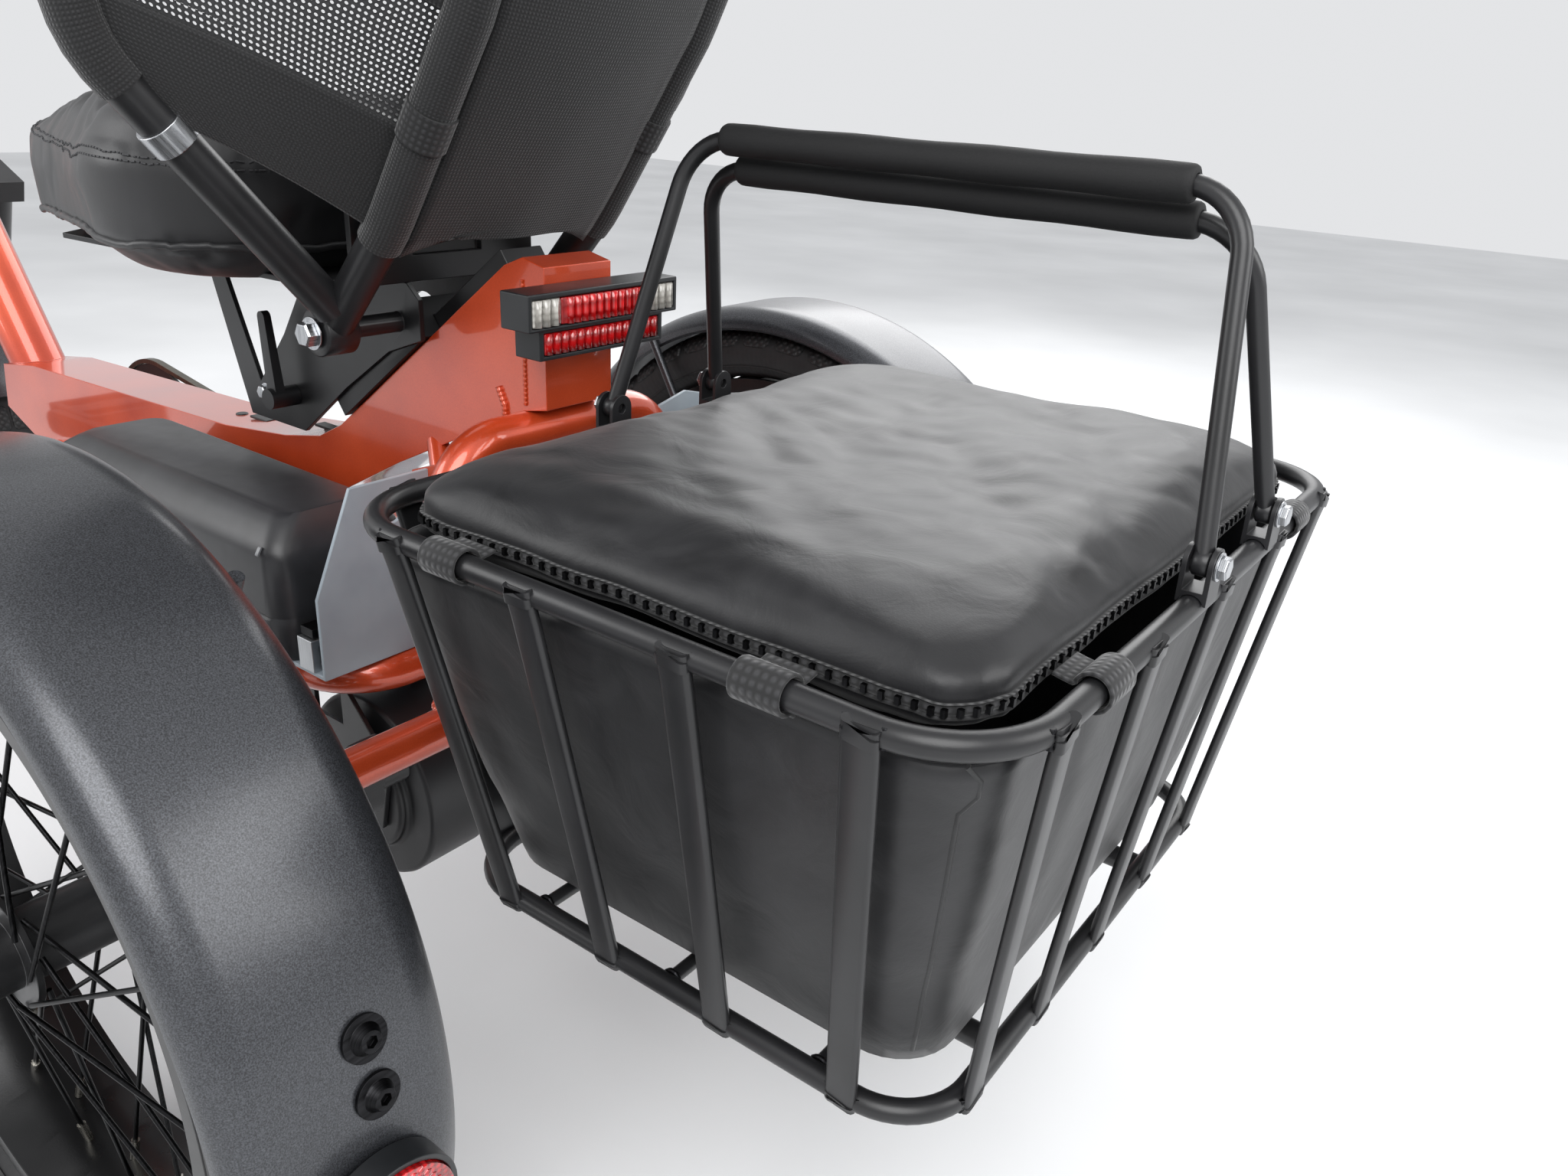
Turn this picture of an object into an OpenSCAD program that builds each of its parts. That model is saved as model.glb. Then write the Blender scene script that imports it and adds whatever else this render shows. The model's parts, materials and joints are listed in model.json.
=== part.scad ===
// Adult tricycle with a low frame, a reclined seat and a rear cargo basket.
// X points forward, Y to the rider's left, Z up. Millimetres.

/* [Wheels] */
// Outer diameter of each tyre
wheel_od = 516; // [480:1:620]
// Width of each tyre
tyre_w = 98; // [60:1:110]
// Diameter of each rim over its lips
rim_d = 418; // [340:1:440]
// Width of each rim over its lips
rim_w = 80; // [50:1:84]
// Number of spokes in each wheel
spoke_count = 36; // [24:12:48]
// Diameter of a spoke
spoke_d = 3; // [2:0.5:4]
// Distance between the centres of the rear wheels
track = 690; // [640:1:830]
// Distance from the rear axle to the front axle
wheelbase = 1110; // [1080:1:1340]
// Diameter of the wheel axles
axle_d = 20; // [15:1:24]
// Diameter of the brake discs
disc_d = 180; // [140:1:203]

/* [Fenders] */
// Gap between a tyre and its fender
fender_gap = 14; // [8:1:30]
// Width of a rear fender
fender_w = 114; // [112:1:125]
// Wall of a fender
fender_t = 3; // [2:0.5:4]

/* [Frame] */
// Width of the main beam
beam_w = 60; // [50:1:72]
// Diameter of the bent frame tubes
frame_tube = 28; // [22:1:32]
// Width of the upright hoop between its tube centres
hoop_w = 200; // [170:1:240]
// Angle of the head tube from the ground
head_angle = 68; // [66:1:72]
// Diameter of the steerer tube
steerer_d = 30; // [25.4:0.1:38]

/* [Rack plate on the head tube] */
// Side of the square plate
plate_side = 64; // [60:1:80]
// Distance between neighbouring screw holes
plate_pitch = 44; // [36:1:48]
// Diameter of the screw holes
plate_hole = 6.4; // [4.4:0.1:8.4]

/* [Battery] */
// Length of the battery case
battery_l = 370; // [300:1:400]
// Width of the battery case
battery_w = 112; // [90:1:122]
// Height of the battery case
battery_h = 102; // [80:1:120]

/* [Basket] */
// Length of the basket rim
basket_l = 372; // [320:1:460]
// Width of the basket rim
basket_w = 463; // [390:1:520]
// Length of the basket floor frame
floor_l = 316; // [270:1:360]
// Width of the basket floor frame
floor_w = 371; // [315:1:450]
// Height from the floor frame to the rim
basket_h = 226; // [180:1:260]
// Diameter of the basket tube
basket_tube = 12; // [9:1:14]
// Height of a carry handle above the rim
handle_h = 160; // [140:1:210]
// Diameter of the foam grip on a carry handle
foam_d = 18; // [15:1:24]

/* [Seat] */
// Width of the seat cushion
seat_w = 372; // [310:1:440]
// Length of the seat cushion
seat_l = 390; // [330:1:440]
// Thickness of the seat cushion
seat_t = 104; // [80:1:130]
// Diameter of the backrest tubes
back_tube = 25; // [20:1:28]
// Height of the backrest above its hinge
back_h = 486; // [400:1:580]

/* [Drive] */
// Length of a crank arm
crank_l = 152; // [130:1:170]
// Pitch diameter of the chainring
ring_d = 170; // [140:1:190]
// Pitch diameter of the rear sprocket
sprocket_d = 77; // [64:1:92]

/* [Hidden] */

fit = 0.05;            // running clearance on a radius
air = 0.3;             // clearance between pieces that only sit close
axle_z = wheel_od / 2;
half_track = track / 2;
basket_x = -308;       // centre of the basket behind the rear axle
rim_z = axle_z + 249;  // height of the rim tube's centre
floor_z = rim_z - basket_h;
rear_end = basket_x - basket_l / 2 - basket_tube / 2;
front_end = wheelbase + wheel_od / 2;
middle_x = (rear_end + front_end) / 2;

// Rear frame
hoop_x = -42;
hoop_z = axle_z + 236;
cross_z = axle_z + 44;
cradle_z = axle_z + 52;
cradle_x = 38;
cradle_y = 130;
deck_z = cradle_z + frame_tube / 2;
beam_back = -62;

// Seat rail and seat: the rail climbs three for every four along
rail_tilt = atan(3 / 4);
rail_x = 160;
rail_z = axle_z + 204.5;
rail_h = 16;
rail_w = 36;
rail_l = 222;
seat_z = axle_z + 320;
seat_x = 285;
pivot_x = 78;
pivot_z = axle_z + 292;
pivot_y = 91;
pin_d = 14;
plate_y = 36;

// Steering
steer_x = wheelbase - 43;
fork_y = 74;
fork_tube = 32;
crown_up = axle_z + 72;      // the fork crown clears the tyre
head_low = crown_up + 16;
head_high = crown_up + 156;

// Drive
crank_x = 665;
crank_z = axle_z + 56;
shell_d = 44;
chain_y = -78;
chain_w = 8;
arm_y = 92;
pedal_y = 104;

// Bearing blocks, fender stays and discs, measured from the middle of the machine
bearing_w = 22;
stay_d = 8;
stay_in = fender_w / 2 + 1;
bearing_y = [160, half_track - stay_in - stay_d / 2 - air - bearing_w / 2];
stay_angles = [60, 118];

// Motor
motor_x = 70;
motor_z = axle_z - 56;
motor_y = [32, 108];
bracket_t = 4;

// Carry handles
rim_corner = 50;
ear_x = 6;
ear_t = 2.5;
handle_y = [30, -70];
grip_y = [-13, -29];
grip_drop = [0, 17];
wire_d = 10;
pivot_up = 20;
pivot_d = 6;

// Battery
battery_y = 104;
battery_x = 62;

function unit(v) = v / norm(v);
function lean(z) = steer_x - (z - axle_z) / tan(head_angle);
steer_dir = [-cos(head_angle), 0, sin(head_angle)];
function on_steer(up) = [steer_x, 0, axle_z] + up * steer_dir;

// Points of a rounded corner at b between a and c
function corner(a, b, c, r, n = 6) =
    let (u = unit(a - b), v = unit(c - b), half = acos(u * v) / 2, reach = r / tan(half),
         mid = b + unit(u + v) * r / sin(half), turn = 180 - 2 * half,
         e1 = (b + u * reach - mid) / r, e2 = (b + v * reach - mid) / r)
    [for (i = [0:n]) mid + r * (sin(turn * (1 - i / n)) * e1 + sin(turn * i / n) * e2) / sin(turn)];

// An open path with every inner corner rounded
function route(p, r) = [p[0],
    for (i = [1:len(p) - 2]) each corner(p[i - 1], p[i], p[i + 1], r),
    p[len(p) - 1]];

// A closed path with every corner rounded
function loop(p, r) = [for (i = [0:len(p) - 1])
    each corner(p[(i + len(p) - 1) % len(p)], p[i], p[(i + 1) % len(p)], r)];

function rect(l, w, x, z) = [
    [x + l / 2, w / 2, z], [x - l / 2, w / 2, z], [x - l / 2, -w / 2, z], [x + l / 2, -w / 2, z]];

// A round tube swept along a path
module tube(path, d, up = [0, 0, 1], closed = false, sides = 12) {
    m = len(path);
    function tangent(i) = closed ? unit(path[(i + 1) % m] - path[(i + m - 1) % m])
        : unit(path[min(i + 1, m - 1)] - path[max(i - 1, 0)]);
    rings = [for (i = [0:m - 1]) let (t = tangent(i), a = unit(cross(t, up)), b = cross(a, t))
        for (k = [0:sides - 1]) path[i] + d / 2 * (cos(360 * k / sides) * a + sin(360 * k / sides) * b)];
    last = closed ? m - 1 : m - 2;
    walls = [for (i = [0:last], k = [0:sides - 1])
        let (j = (i + 1) % m, q = (k + 1) % sides)
        [i * sides + k, i * sides + q, j * sides + q, j * sides + k]];
    caps = closed ? [] : [[for (k = [sides - 1:-1:0]) k], [for (k = [0:sides - 1]) (m - 1) * sides + k]];
    polyhedron(rings, concat(walls, caps), convexity = 8);
}

// A straight round rod from a to b
module rod(a, b, d, fn = 24) {
    v = b - a;
    translate(a) rotate([0, acos(v[2] / norm(v)), atan2(v[1], v[0])]) cylinder(d = d, h = norm(v), $fn = fn);
}

// A flat plate standing along X, from an outline of [x, z] points
module upright(outline, y0, y1) {
    translate([0, y1, 0]) rotate([90, 0, 0]) linear_extrude(y1 - y0) polygon(outline);
}

// A plate lying flat, from an outline of [x, y] points
module flat(outline, z0, z1) {
    translate([0, 0, z0]) linear_extrude(z1 - z0) polygon(outline);
}

module drum(d, y0, y1, x = 0, z = 0, fn = 64) {
    translate([x, y1, z]) rotate([90, 0, 0]) cylinder(d = d, h = y1 - y0, $fn = fn);
}

module mirrored() {
    children();
    mirror([0, 1, 0]) children();
}

// The origin is under the middle of the whole machine
module placed() {
    translate([-middle_x, 0, 0]) children();
}

module at_wheel(i) {
    translate([i == 2 ? wheelbase : 0, i == 0 ? half_track : i == 1 ? -half_track : 0, axle_z])
        mirror([0, i == 1 ? 1 : 0, 0]) children();
}

// ---- wheels -------------------------------------------------------------
rim_well = rim_d / 2 - 21;
bead_r = rim_d / 2 - 8;

module tyre(i) {
    color("#1b1b1c") placed() at_wheel(i) rotate([90, 0, 0]) rotate_extrude($fn = 96) {
        half = tyre_w / 2;
        top = wheel_od / 2;
        seat = rim_w / 2 - 5 - air;
        polygon([
            [bead_r, seat], [rim_d / 2 + air, seat], [rim_d / 2 + 9, seat + 3], [top - 25, half],
            [top - 9, half - 3], [top - 1, half - 16], [top, 0], [top - 1, 16 - half], [top - 9, 3 - half],
            [top - 25, -half], [rim_d / 2 + 9, -seat - 3], [rim_d / 2 + air, -seat], [bead_r, -seat]]);
    }
}

module rim(i) {
    color("#161617") placed() at_wheel(i) rotate([90, 0, 0]) rotate_extrude($fn = 96) {
        lip = rim_w / 2;
        polygon([
            [rim_well, 12], [rim_well + 8, lip], [rim_d / 2, lip], [rim_d / 2, lip - 5],
            [bead_r - air, lip - 5], [bead_r - air, 5 - lip], [rim_d / 2, 5 - lip], [rim_d / 2, -lip],
            [rim_well + 8, -lip], [rim_well, -12]]);
    }
}

flange_r = 34;
flange_y = 31;
hub_r = 21;
disc_y = flange_y + 20;

module spokes(i) {
    count = spoke_count / 2;
    color("#2a2a2b") placed() at_wheel(i) for (side = [-1, 1], k = [0:count - 1]) {
        a = 360 * (k + (side > 0 ? 0 : 0.5)) / count;
        cross = (k % 2 == 0 ? 1 : -1) * 58;
        in_r = flange_r - 1.5;
        out_r = rim_well - 0.6;
        seat_y = flange_y + (k % 2 == 0 ? spoke_d / 2 + 2.9 : -spoke_d / 2 - 2.3);
        rod([in_r * cos(a + cross), side * seat_y, in_r * sin(a + cross)],
            [out_r * cos(a), side * (5 + (k % 2) * 1.5), out_r * sin(a)], spoke_d, 13);
    }
}

// Rear hubs turn with a stub axle that runs inboard to its bearings
stub_in = [120, bearing_y[0] + 1];

module hub(i) {
    color("#202021") placed() at_wheel(i) {
        drum(2 * hub_r, -flange_y - 14, flange_y + 20);
        for (y = [-flange_y - 2, flange_y - 2]) drum(2 * flange_r, y, y + 4);
        if (i < 2) {
            drum(axle_d, stub_in[i] - half_track, -flange_y - 14);
            drum(30, flange_y + 20, flange_y + 26);
            brake_disc(-disc_y);
        } else {
            drum(axle_d, -fork_y + fork_tube / 2 + air, fork_y - fork_tube / 2 - air);
            brake_disc(-flange_y - 14);
        }
    }
}

module brake_disc(y) {
    difference() {
        union() {
            drum(disc_d, y, y + 2);
            drum(56, y, y + 12);
        }
        for (k = [0:5]) rotate([0, 60 * k, 0])
            translate([disc_d / 4 + 6, y - 1, 0]) rotate([-90, 0, 0]) cylinder(d = 26, h = 4, $fn = 24);
    }
}

// ---- fenders ------------------------------------------------------------
fender_r = wheel_od / 2 + fender_gap + fender_t;

// An arched channel round a wheel from one angle to another, measured up from the front
module fender_arch(w, from, to) {
    half = w / 2;
    rotate([90, 0, 0]) rotate([0, 0, from]) rotate_extrude(angle = to - from, $fn = 96) polygon([
        [fender_r - 18, half], [fender_r - 5, half - 6], [fender_r, half - 22],
        [fender_r, 22 - half], [fender_r - 5, 6 - half], [fender_r - 18, -half],
        [fender_r - 18, fender_t - half], [fender_r - 6 - fender_t, fender_t + 6 - half],
        [fender_r - fender_t, 23 - half], [fender_r - fender_t, half - 23],
        [fender_r - 6 - fender_t, half - 6 - fender_t], [fender_r - 18, half - fender_t]]);
}

module rear_fender(i) {
    color("#3a3b3e") placed() at_wheel(i) {
        fender_arch(fender_w, 24, 202);
        // stays that carry the fender on the bearing blocks
        for (a = stay_angles) rod(
            [16 * cos(a), -stay_in, 16 * sin(a)],
            [(fender_r - 12) * cos(a), -stay_in, (fender_r - 12) * sin(a)], stay_d, 16);
    }
}

module fender_left() rear_fender(0);
module fender_right() rear_fender(1);

bolt_angles = [165, 171];
reflector_angle = 184;

module on_fender(a, y, lift = 0) {
    rotate([0, -a, 0]) translate([fender_r + lift, y, 0]) rotate([0, 90, 0]) children();
}

module fender_bolts() {
    color("#3c3c3e") placed() for (i = [0, 1]) at_wheel(i) for (a = bolt_angles) on_fender(a, -10) {
        cylinder(d = 22, h = 2, $fn = 32);
        translate([0, 0, 2]) difference() {
            cylinder(d1 = 15, d2 = 10, h = 5, $fn = 24);
            translate([0, 0, 2]) cylinder(d = 6, h = 4, $fn = 6);
        }
    }
}

module reflector_cups() {
    color("#151516") placed() for (i = [0, 1]) at_wheel(i) on_fender(reflector_angle, 0) difference() {
        cylinder(d = 74, h = 14, $fn = 64);
        translate([0, 0, 6]) cylinder(d = 68, h = 9, $fn = 64);
    }
}

module side_reflectors() {
    color("#c8201c") placed() for (i = [0, 1]) at_wheel(i) on_fender(reflector_angle, 0, 6)
        cylinder(d = 67.4, h = 10, $fn = 64);
}

// ---- frame --------------------------------------------------------------
beam_outline = [
    [beam_back, axle_z + 254], [-40, axle_z + 249.5], [100, axle_z + 182], [190, axle_z + 134],
    [270, axle_z + 106], [400, axle_z + 87], [720, axle_z + 68], [780, axle_z + 92],
    [770, axle_z + 140], [700, axle_z + 150], [340, axle_z + 162], [250, axle_z + 172],
    [200, axle_z + 182], [170, axle_z + 197], [-25, axle_z + 343.25], [-42, axle_z + 350],
    [beam_back, axle_z + 346]];

module main_beam() {
    color("#c8421b") placed() difference() {
        union() {
            upright(beam_outline, -beam_w / 2, beam_w / 2);
            // down tube, head tube and bottom bracket shell
            rod([740, 0, axle_z + 112], on_steer(head_low + 50), 52, 48);
            rod(on_steer(head_low), on_steer(head_high), 46, 48);
            drum(shell_d, -36, 36, crank_x, crank_z, 48);
        }
        rod(on_steer(head_low - 1), on_steer(head_high + 1), steerer_d + 2 * fit, 64);
        drum(axle_d + 2 * fit, -40, 40, crank_x, crank_z, 48);
    }
}

module rear_frame() {
    y = hoop_w / 2;
    color("#c8421b") placed() {
        tube(route([[hoop_x, y, cross_z], [hoop_x, y, hoop_z], [hoop_x, -y, hoop_z],
            [hoop_x, -y, cross_z]], 44), frame_tube, up = [1, 0, 0]);
        // axle cross tube that joins the feet of the hoop
        drum(frame_tube, -bearing_y[1] - bearing_w / 2, bearing_y[1] + bearing_w / 2, hoop_x, cross_z, 32);
        for (s = [-1, 1]) {
            // side ties from the hoop forward to the cradle, and knees up to the beam
            hull() { ball([hoop_x, s * 62, cross_z], 18); ball([cradle_x - 14, s * 62, cradle_z], 18); }
            hull() { ball([hoop_x, s * 62, cross_z], 16); ball([hoop_x - 2, s * 22, hoop_z - 4], 16); }
            hull() { ball([hoop_x, s * (y - 6), cross_z + 70], 16); ball([60, s * 24, axle_z + 206], 16); }
        }
    }
}

module ball(p, d) {
    translate(p) sphere(d = d, $fn = 16);
}

// The right rail runs straight back to the axle tube, which leaves room for the chain
module battery_cradle() {
    front = battery_x + battery_l - 12;
    bend = 52;
    color("#c8421b") placed() {
        tube(route([[front + 74, 24, cradle_z + 34], [front + 44, 50, cradle_z], [front, cradle_y, cradle_z],
            [cradle_x, cradle_y, cradle_z], [cradle_x, -56, cradle_z]], bend), frame_tube);
        tube(route([[front + 74, -24, cradle_z + 34], [front + 44, -50, cradle_z],
            [front, -cradle_y, cradle_z], [hoop_x + frame_tube / 2 + air, -cradle_y, cradle_z]], bend),
            frame_tube);
    }
}

module frame_gussets() {
    color("#c8421b") placed() for (s = [-1, 1]) difference() {
        upright([[-22, hoop_z - 16], [-22, hoop_z - 96], [14, hoop_z - 110], [74, hoop_z - 70],
            [60, hoop_z - 46]], s * 46 - 2.5, s * 46 + 2.5);
        drum(24, s * 46 - 4, s * 46 + 4, 24, hoop_z - 70, 32);
    }
}

module deck_plate() {
    l = battery_l;
    color("#8c969c") placed() {
        difference() {
            flat([[cradle_x - 4, 150], [battery_x + l, 150], [battery_x + l, -150], [cradle_x - 4, -150]],
                deck_z + 0.1, deck_z + 3.1);
            translate([cradle_x + 70, -110, deck_z - 1]) cube([l - 150, 130, 6]);
        }
        // riser behind the battery
        difference() {
            rotate([90, 0, 90]) translate([0, 0, cradle_x - 4]) linear_extrude(3) polygon([
                [150, deck_z + 3.1], [150, deck_z + 60], [118, deck_z + 132], [-118, deck_z + 132],
                [-150, deck_z + 60], [-150, deck_z + 3.1]]);
            for (s = [-1, 1]) translate([cradle_x - 8, s * 86, deck_z + 108]) rotate([0, 90, 0])
                cylinder(d = 16, h = 12, $fn = 32);
            translate([cradle_x - 8, -beam_w / 2 - 24, deck_z + 60]) cube([12, beam_w + 48, 90]);
        }
    }
}

module side_plate() {
    front = hoop_x + frame_tube / 2 + air;
    root = -hoop_w / 2;
    color("#8f989d") placed() translate([front, 0, 0]) rotate([90, 0, 90]) linear_extrude(3) polygon([
        [root, hoop_z - 60], [root, hoop_z - 22], [-114, hoop_z - 12], [-150, hoop_z - 4],
        [-190, hoop_z - 14], [-235, hoop_z - 44], [-272, hoop_z - 96], [-272, cross_z + 14],
        [-250, cross_z + 14], [-236, hoop_z - 108], [-180, hoop_z - 64]]);
}

// The inner right block also carries the spindle that the sprocket turns on
module axle_bearings() {
    half = bearing_w / 2;
    color("#242425") placed() for (s = [-1, 1], k = [0, 1]) {
        y = s * bearing_y[k];
        spindle = s < 0 && k == 0;
        difference() {
            union() {
                drum(44, y - half, y + half, 0, axle_z, 48);
                hull() {
                    drum(16, y - half, y + half, hoop_x + 22, cross_z - 6, 32);
                    drum(30, y - half, y + half, -6, axle_z, 32);
                }
            }
            drum(axle_d + 2 * fit, y - half - 1, spindle ? y : y + half + 1, 0, axle_z, 48);
            drum(frame_tube + 2 * air, y - half - 1, y + half + 1, hoop_x, cross_z, 48);
        }
        if (spindle) drum(axle_d, y, chain_y + 12, 0, axle_z, 48);
    }
}

module rack_plate() {
    z = axle_z + 392;
    x = lean(z) + 46;
    color("#1d1d1e") placed() difference() {
        union() {
            translate([x - 3, -plate_side / 2, z - plate_side / 2]) cube([6, plate_side, plate_side]);
            for (s = [-1, 1]) translate([x - 50, s * 15 - 4, z - 14]) cube([48, 8, 28]);
        }
        rod(on_steer(head_low), on_steer(head_high), 46 + 2 * air, 48);
        for (y = [-1, 1], h = [-1, 1]) translate([x - 10, y * plate_pitch / 2, z + h * plate_pitch / 2])
            rotate([0, 90, 0]) cylinder(d = plate_hole, h = 20, $fn = 32);
    }
}

module motor_drum() {
    color("#1e1e20") placed() {
        drum(150, motor_y[0] + 8, motor_y[1] - 8, motor_x, motor_z);
        drum(96, motor_y[1] - 8, motor_y[1], motor_x, motor_z);
        drum(60, motor_y[0], motor_y[0] + 8, motor_x, motor_z);
    }
}

module motor_bracket() {
    rear = cradle_x + 38;
    color("#141415") placed() for (y = [motor_y[0] - bracket_t - air, motor_y[1] + air]) difference() {
        upright([[motor_x - 30, motor_z - 20], [motor_x + 40, motor_z - 20], [motor_x + 70, motor_z + 60],
            [motor_x + 60, deck_z], [rear, deck_z], [rear, cradle_z - frame_tube / 2 - 1],
            [motor_x - 44, motor_z + 40]], y, y + bracket_t);
        translate([motor_x + 8, y - 1, motor_z + 56]) cube([34, bracket_t + 2, 26]);
    }
}

// ---- lamps --------------------------------------------------------------
lamp_z = axle_z + 324;
lamp_w = 134;

module tail_light_housing() {
    color("#1f2021") placed() difference() {
        union() {
            hull() for (y = [-1, 1]) translate([beam_back - 26, y * (lamp_w / 2 - 8) - 8, lamp_z - 11])
                cube([25.7, 16, 23]);
            translate([beam_back - 23, -56, lamp_z - 30]) cube([22.7, 112, 20]);
        }
        translate([beam_back - 27, -lamp_w / 2 + 3, lamp_z - 8.5]) cube([14, lamp_w - 6, 17]);
        translate([beam_back - 24, -52, lamp_z - 27]) cube([8, 104, 14]);
    }
}

module tail_light_lens() {
    color("#c81414") placed() {
        translate([beam_back - 26, 27 - lamp_w / 2, lamp_z - 8.2]) cube([12.7, lamp_w - 54, 16.4]);
        translate([beam_back - 23, -51.7, lamp_z - 26.7]) cube([6.7, 103.4, 13.4]);
    }
}

module turn_lenses() {
    color("#e8e4dc") placed() for (s = [-1, 1])
        translate([beam_back - 26, s * (lamp_w / 2 - 15) - 11.5, lamp_z - 8.2]) cube([12.7, 23, 16.4]);
}

module headlight() {
    crown = on_steer(crown_up);
    color("#1c1c1d") placed() {
        translate(crown + [56, 0, 18]) rotate([0, 90, 0]) cylinder(d1 = 40, d2 = 66, h = 44, $fn = 48);
        translate(crown) rotate([0, head_angle - 90, 0]) translate([42 + air, -7, -8]) cube([24, 14, 12]);
    }
}

// ---- battery ------------------------------------------------------------
module battery_case() {
    l = battery_l;
    w = battery_w;
    h = battery_h;
    base = deck_z + 3.4;
    color("#29292b") placed() translate([battery_x, battery_y - w / 2, base]) hull() {
        translate([26, 4, 0]) cylinder(r = 4, h = 20, $fn = 24);
        translate([26, w - 4, 0]) cylinder(r = 4, h = 20, $fn = 24);
        translate([6, 26, 0]) cylinder(r = 6, h = h - 26, $fn = 24);
        translate([6, w - 26, 0]) cylinder(r = 6, h = h - 26, $fn = 24);
        translate([44, 22, h - 10]) cylinder(r = 10, h = 10, $fn = 24);
        translate([44, w - 22, h - 10]) cylinder(r = 10, h = 10, $fn = 24);
        translate([l - 12, 12, 0]) cylinder(r = 12, h = h - 50, $fn = 24);
        translate([l - 12, w - 12, 0]) cylinder(r = 12, h = h - 50, $fn = 24);
        translate([l - 60, 26, h - 34]) cylinder(r = 12, h = 24, $fn = 24);
        translate([l - 60, w - 26, h - 34]) cylinder(r = 12, h = 24, $fn = 24);
    }
}

module battery_clips() {
    color("#b9bbbd") placed() for (s = [-1, 1])
        translate([battery_x - 17, battery_y + s * 30 - 17, deck_z + 3.1]) difference() {
            cube([16.6, 34, 24]);
            for (k = [0:2]) translate([-1, 14 + 6 * k, 5]) cube([2.4, 2.4, 14]);
        }
}

module battery_lead() {
    route = [[-14, 0, 14], [-20, -6, 13], [-21, -20, 12], [-21, -32, 10], [-21, -46, 7.5]];
    color("#121213") placed() tube([for (p = route) p + [battery_x, battery_y, deck_z]], 7, sides = 8);
}

// ---- seat ---------------------------------------------------------------
module on_rail() {
    translate([rail_x, 0, rail_z]) rotate([0, rail_tilt, 0]) mirror([1, 0, 0]) children();
}

module seat_rail() {
    color("#151516") placed() on_rail() translate([0, -rail_w / 2, 0]) cube([rail_l, rail_w, rail_h]);
}

module seat_bracket() {
    color("#161617") placed() {
        // slider block astride the rail
        on_rail() difference() {
            translate([4, -plate_y + 2, 0.6]) cube([128, 2 * plate_y - 4, rail_h + 14]);
            translate([0, -rail_w / 2 - air, 0]) cube([140, rail_w + 2 * air, rail_h + air]);
        }
        for (s = [-1, 1]) {
            difference() {
                upright([[326, seat_z], [280, axle_z + 186], [206, axle_z + 186], [146, axle_z + 232],
                    [92, axle_z + 268], [54, axle_z + 282], [54, axle_z + 310], [66, seat_z]],
                    s * plate_y - 2, s * plate_y + 2);
                upright([[300, seat_z - 16], [262, axle_z + 216], [222, seat_z - 60], [190, seat_z - 16]],
                    s * plate_y - 4, s * plate_y + 4);
                drum(34, s * plate_y - 4, s * plate_y + 4, 142, seat_z - 40, 32);
            }
            // pivot pin of the backrest
            mirror([0, s < 0 ? 1 : 0, 0]) drum(pin_d, plate_y, pivot_y + 14, pivot_x, pivot_z, 48);
        }
    }
}

module seat_pan() {
    color("#1a1a1b") placed() {
        flat([[seat_x + 120, 80], [seat_x + 90, 120], [96, 100], [72, 70], [72, -70], [96, -100],
            [seat_x + 90, -120], [seat_x + 120, -80]], seat_z, seat_z + 4);
        // rear cross plate with its two cap nuts
        difference() {
            translate([67, -78, seat_z]) cube([5.4, 156, 52]);
            translate([60, -30, seat_z + 18]) cube([12, 60, 20]);
        }
        for (s = [-1, 1]) translate([58, s * 63, seat_z + 34]) rotate([0, 90, 0])
            cylinder(d = 19, h = 10, $fn = 32);
    }
}

module seat_cushion() {
    w = seat_w / 2;
    color("#232325") placed() translate([seat_x - seat_l / 2, 0, seat_z + 4.3]) hull() {
        for (s = [-1, 1]) {
            translate([100, s * (w - 100), 12]) cylinder(r = 100, h = seat_t - 42, $fn = 48);
            translate([110, s * (w - 120), 0]) cylinder(r = 96, h = seat_t, $fn = 48);
            translate([seat_l - 62, s * 60, 6]) cylinder(r = 62, h = seat_t - 34, $fn = 48);
        }
    }
}

module seat_clamp_lever() {
    z = axle_z + 214;
    color("#101011") placed() {
        drum(16, plate_y + 2.3, plate_y + 26, 214, z, 32);
        hull() {
            drum(12, plate_y + 14, plate_y + 22, 214, z, 24);
            drum(9, plate_y + 16, plate_y + 22, 218, z + 62, 24);
        }
    }
}

// ---- backrest -----------------------------------------------------------
back_top = pivot_z + back_h;
upright_path = [[pivot_x, pivot_y, pivot_z], [8, pivot_y, pivot_z + 76], [-76, pivot_y, pivot_z + 196],
    [-146, pivot_y, pivot_z + 330], [-171, pivot_y, back_top - 6]];
wing_path = [[pivot_x - 14, 98, pivot_z + 18], [60, 232, pivot_z + 170], [48, 250, pivot_z + 250],
    [-30, 236, pivot_z + 380], [-120, 180, back_top - 20], [-172, 90, back_top]];

function over_y(p) = [p[0], -p[1], p[2]];
bow_path = concat(wing_path, [for (i = [len(wing_path) - 1:-1:0]) over_y(wing_path[i])]);

module backrest_frame() {
    color("#17181a") placed() difference() {
        union() {
            tube(route(bow_path, 70), back_tube, up = [1, 0, 0]);
            mirrored() {
                tube(route(upright_path, 60), back_tube, up = [0, 1, 0]);
                drum(32, pivot_y - 12, pivot_y + 12, pivot_x, pivot_z, 48);
            }
        }
        for (s = [-1, 1]) drum(pin_d + 2 * fit, s * pivot_y - 14, s * pivot_y + 14, pivot_x, pivot_z, 48);
    }
}

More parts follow.
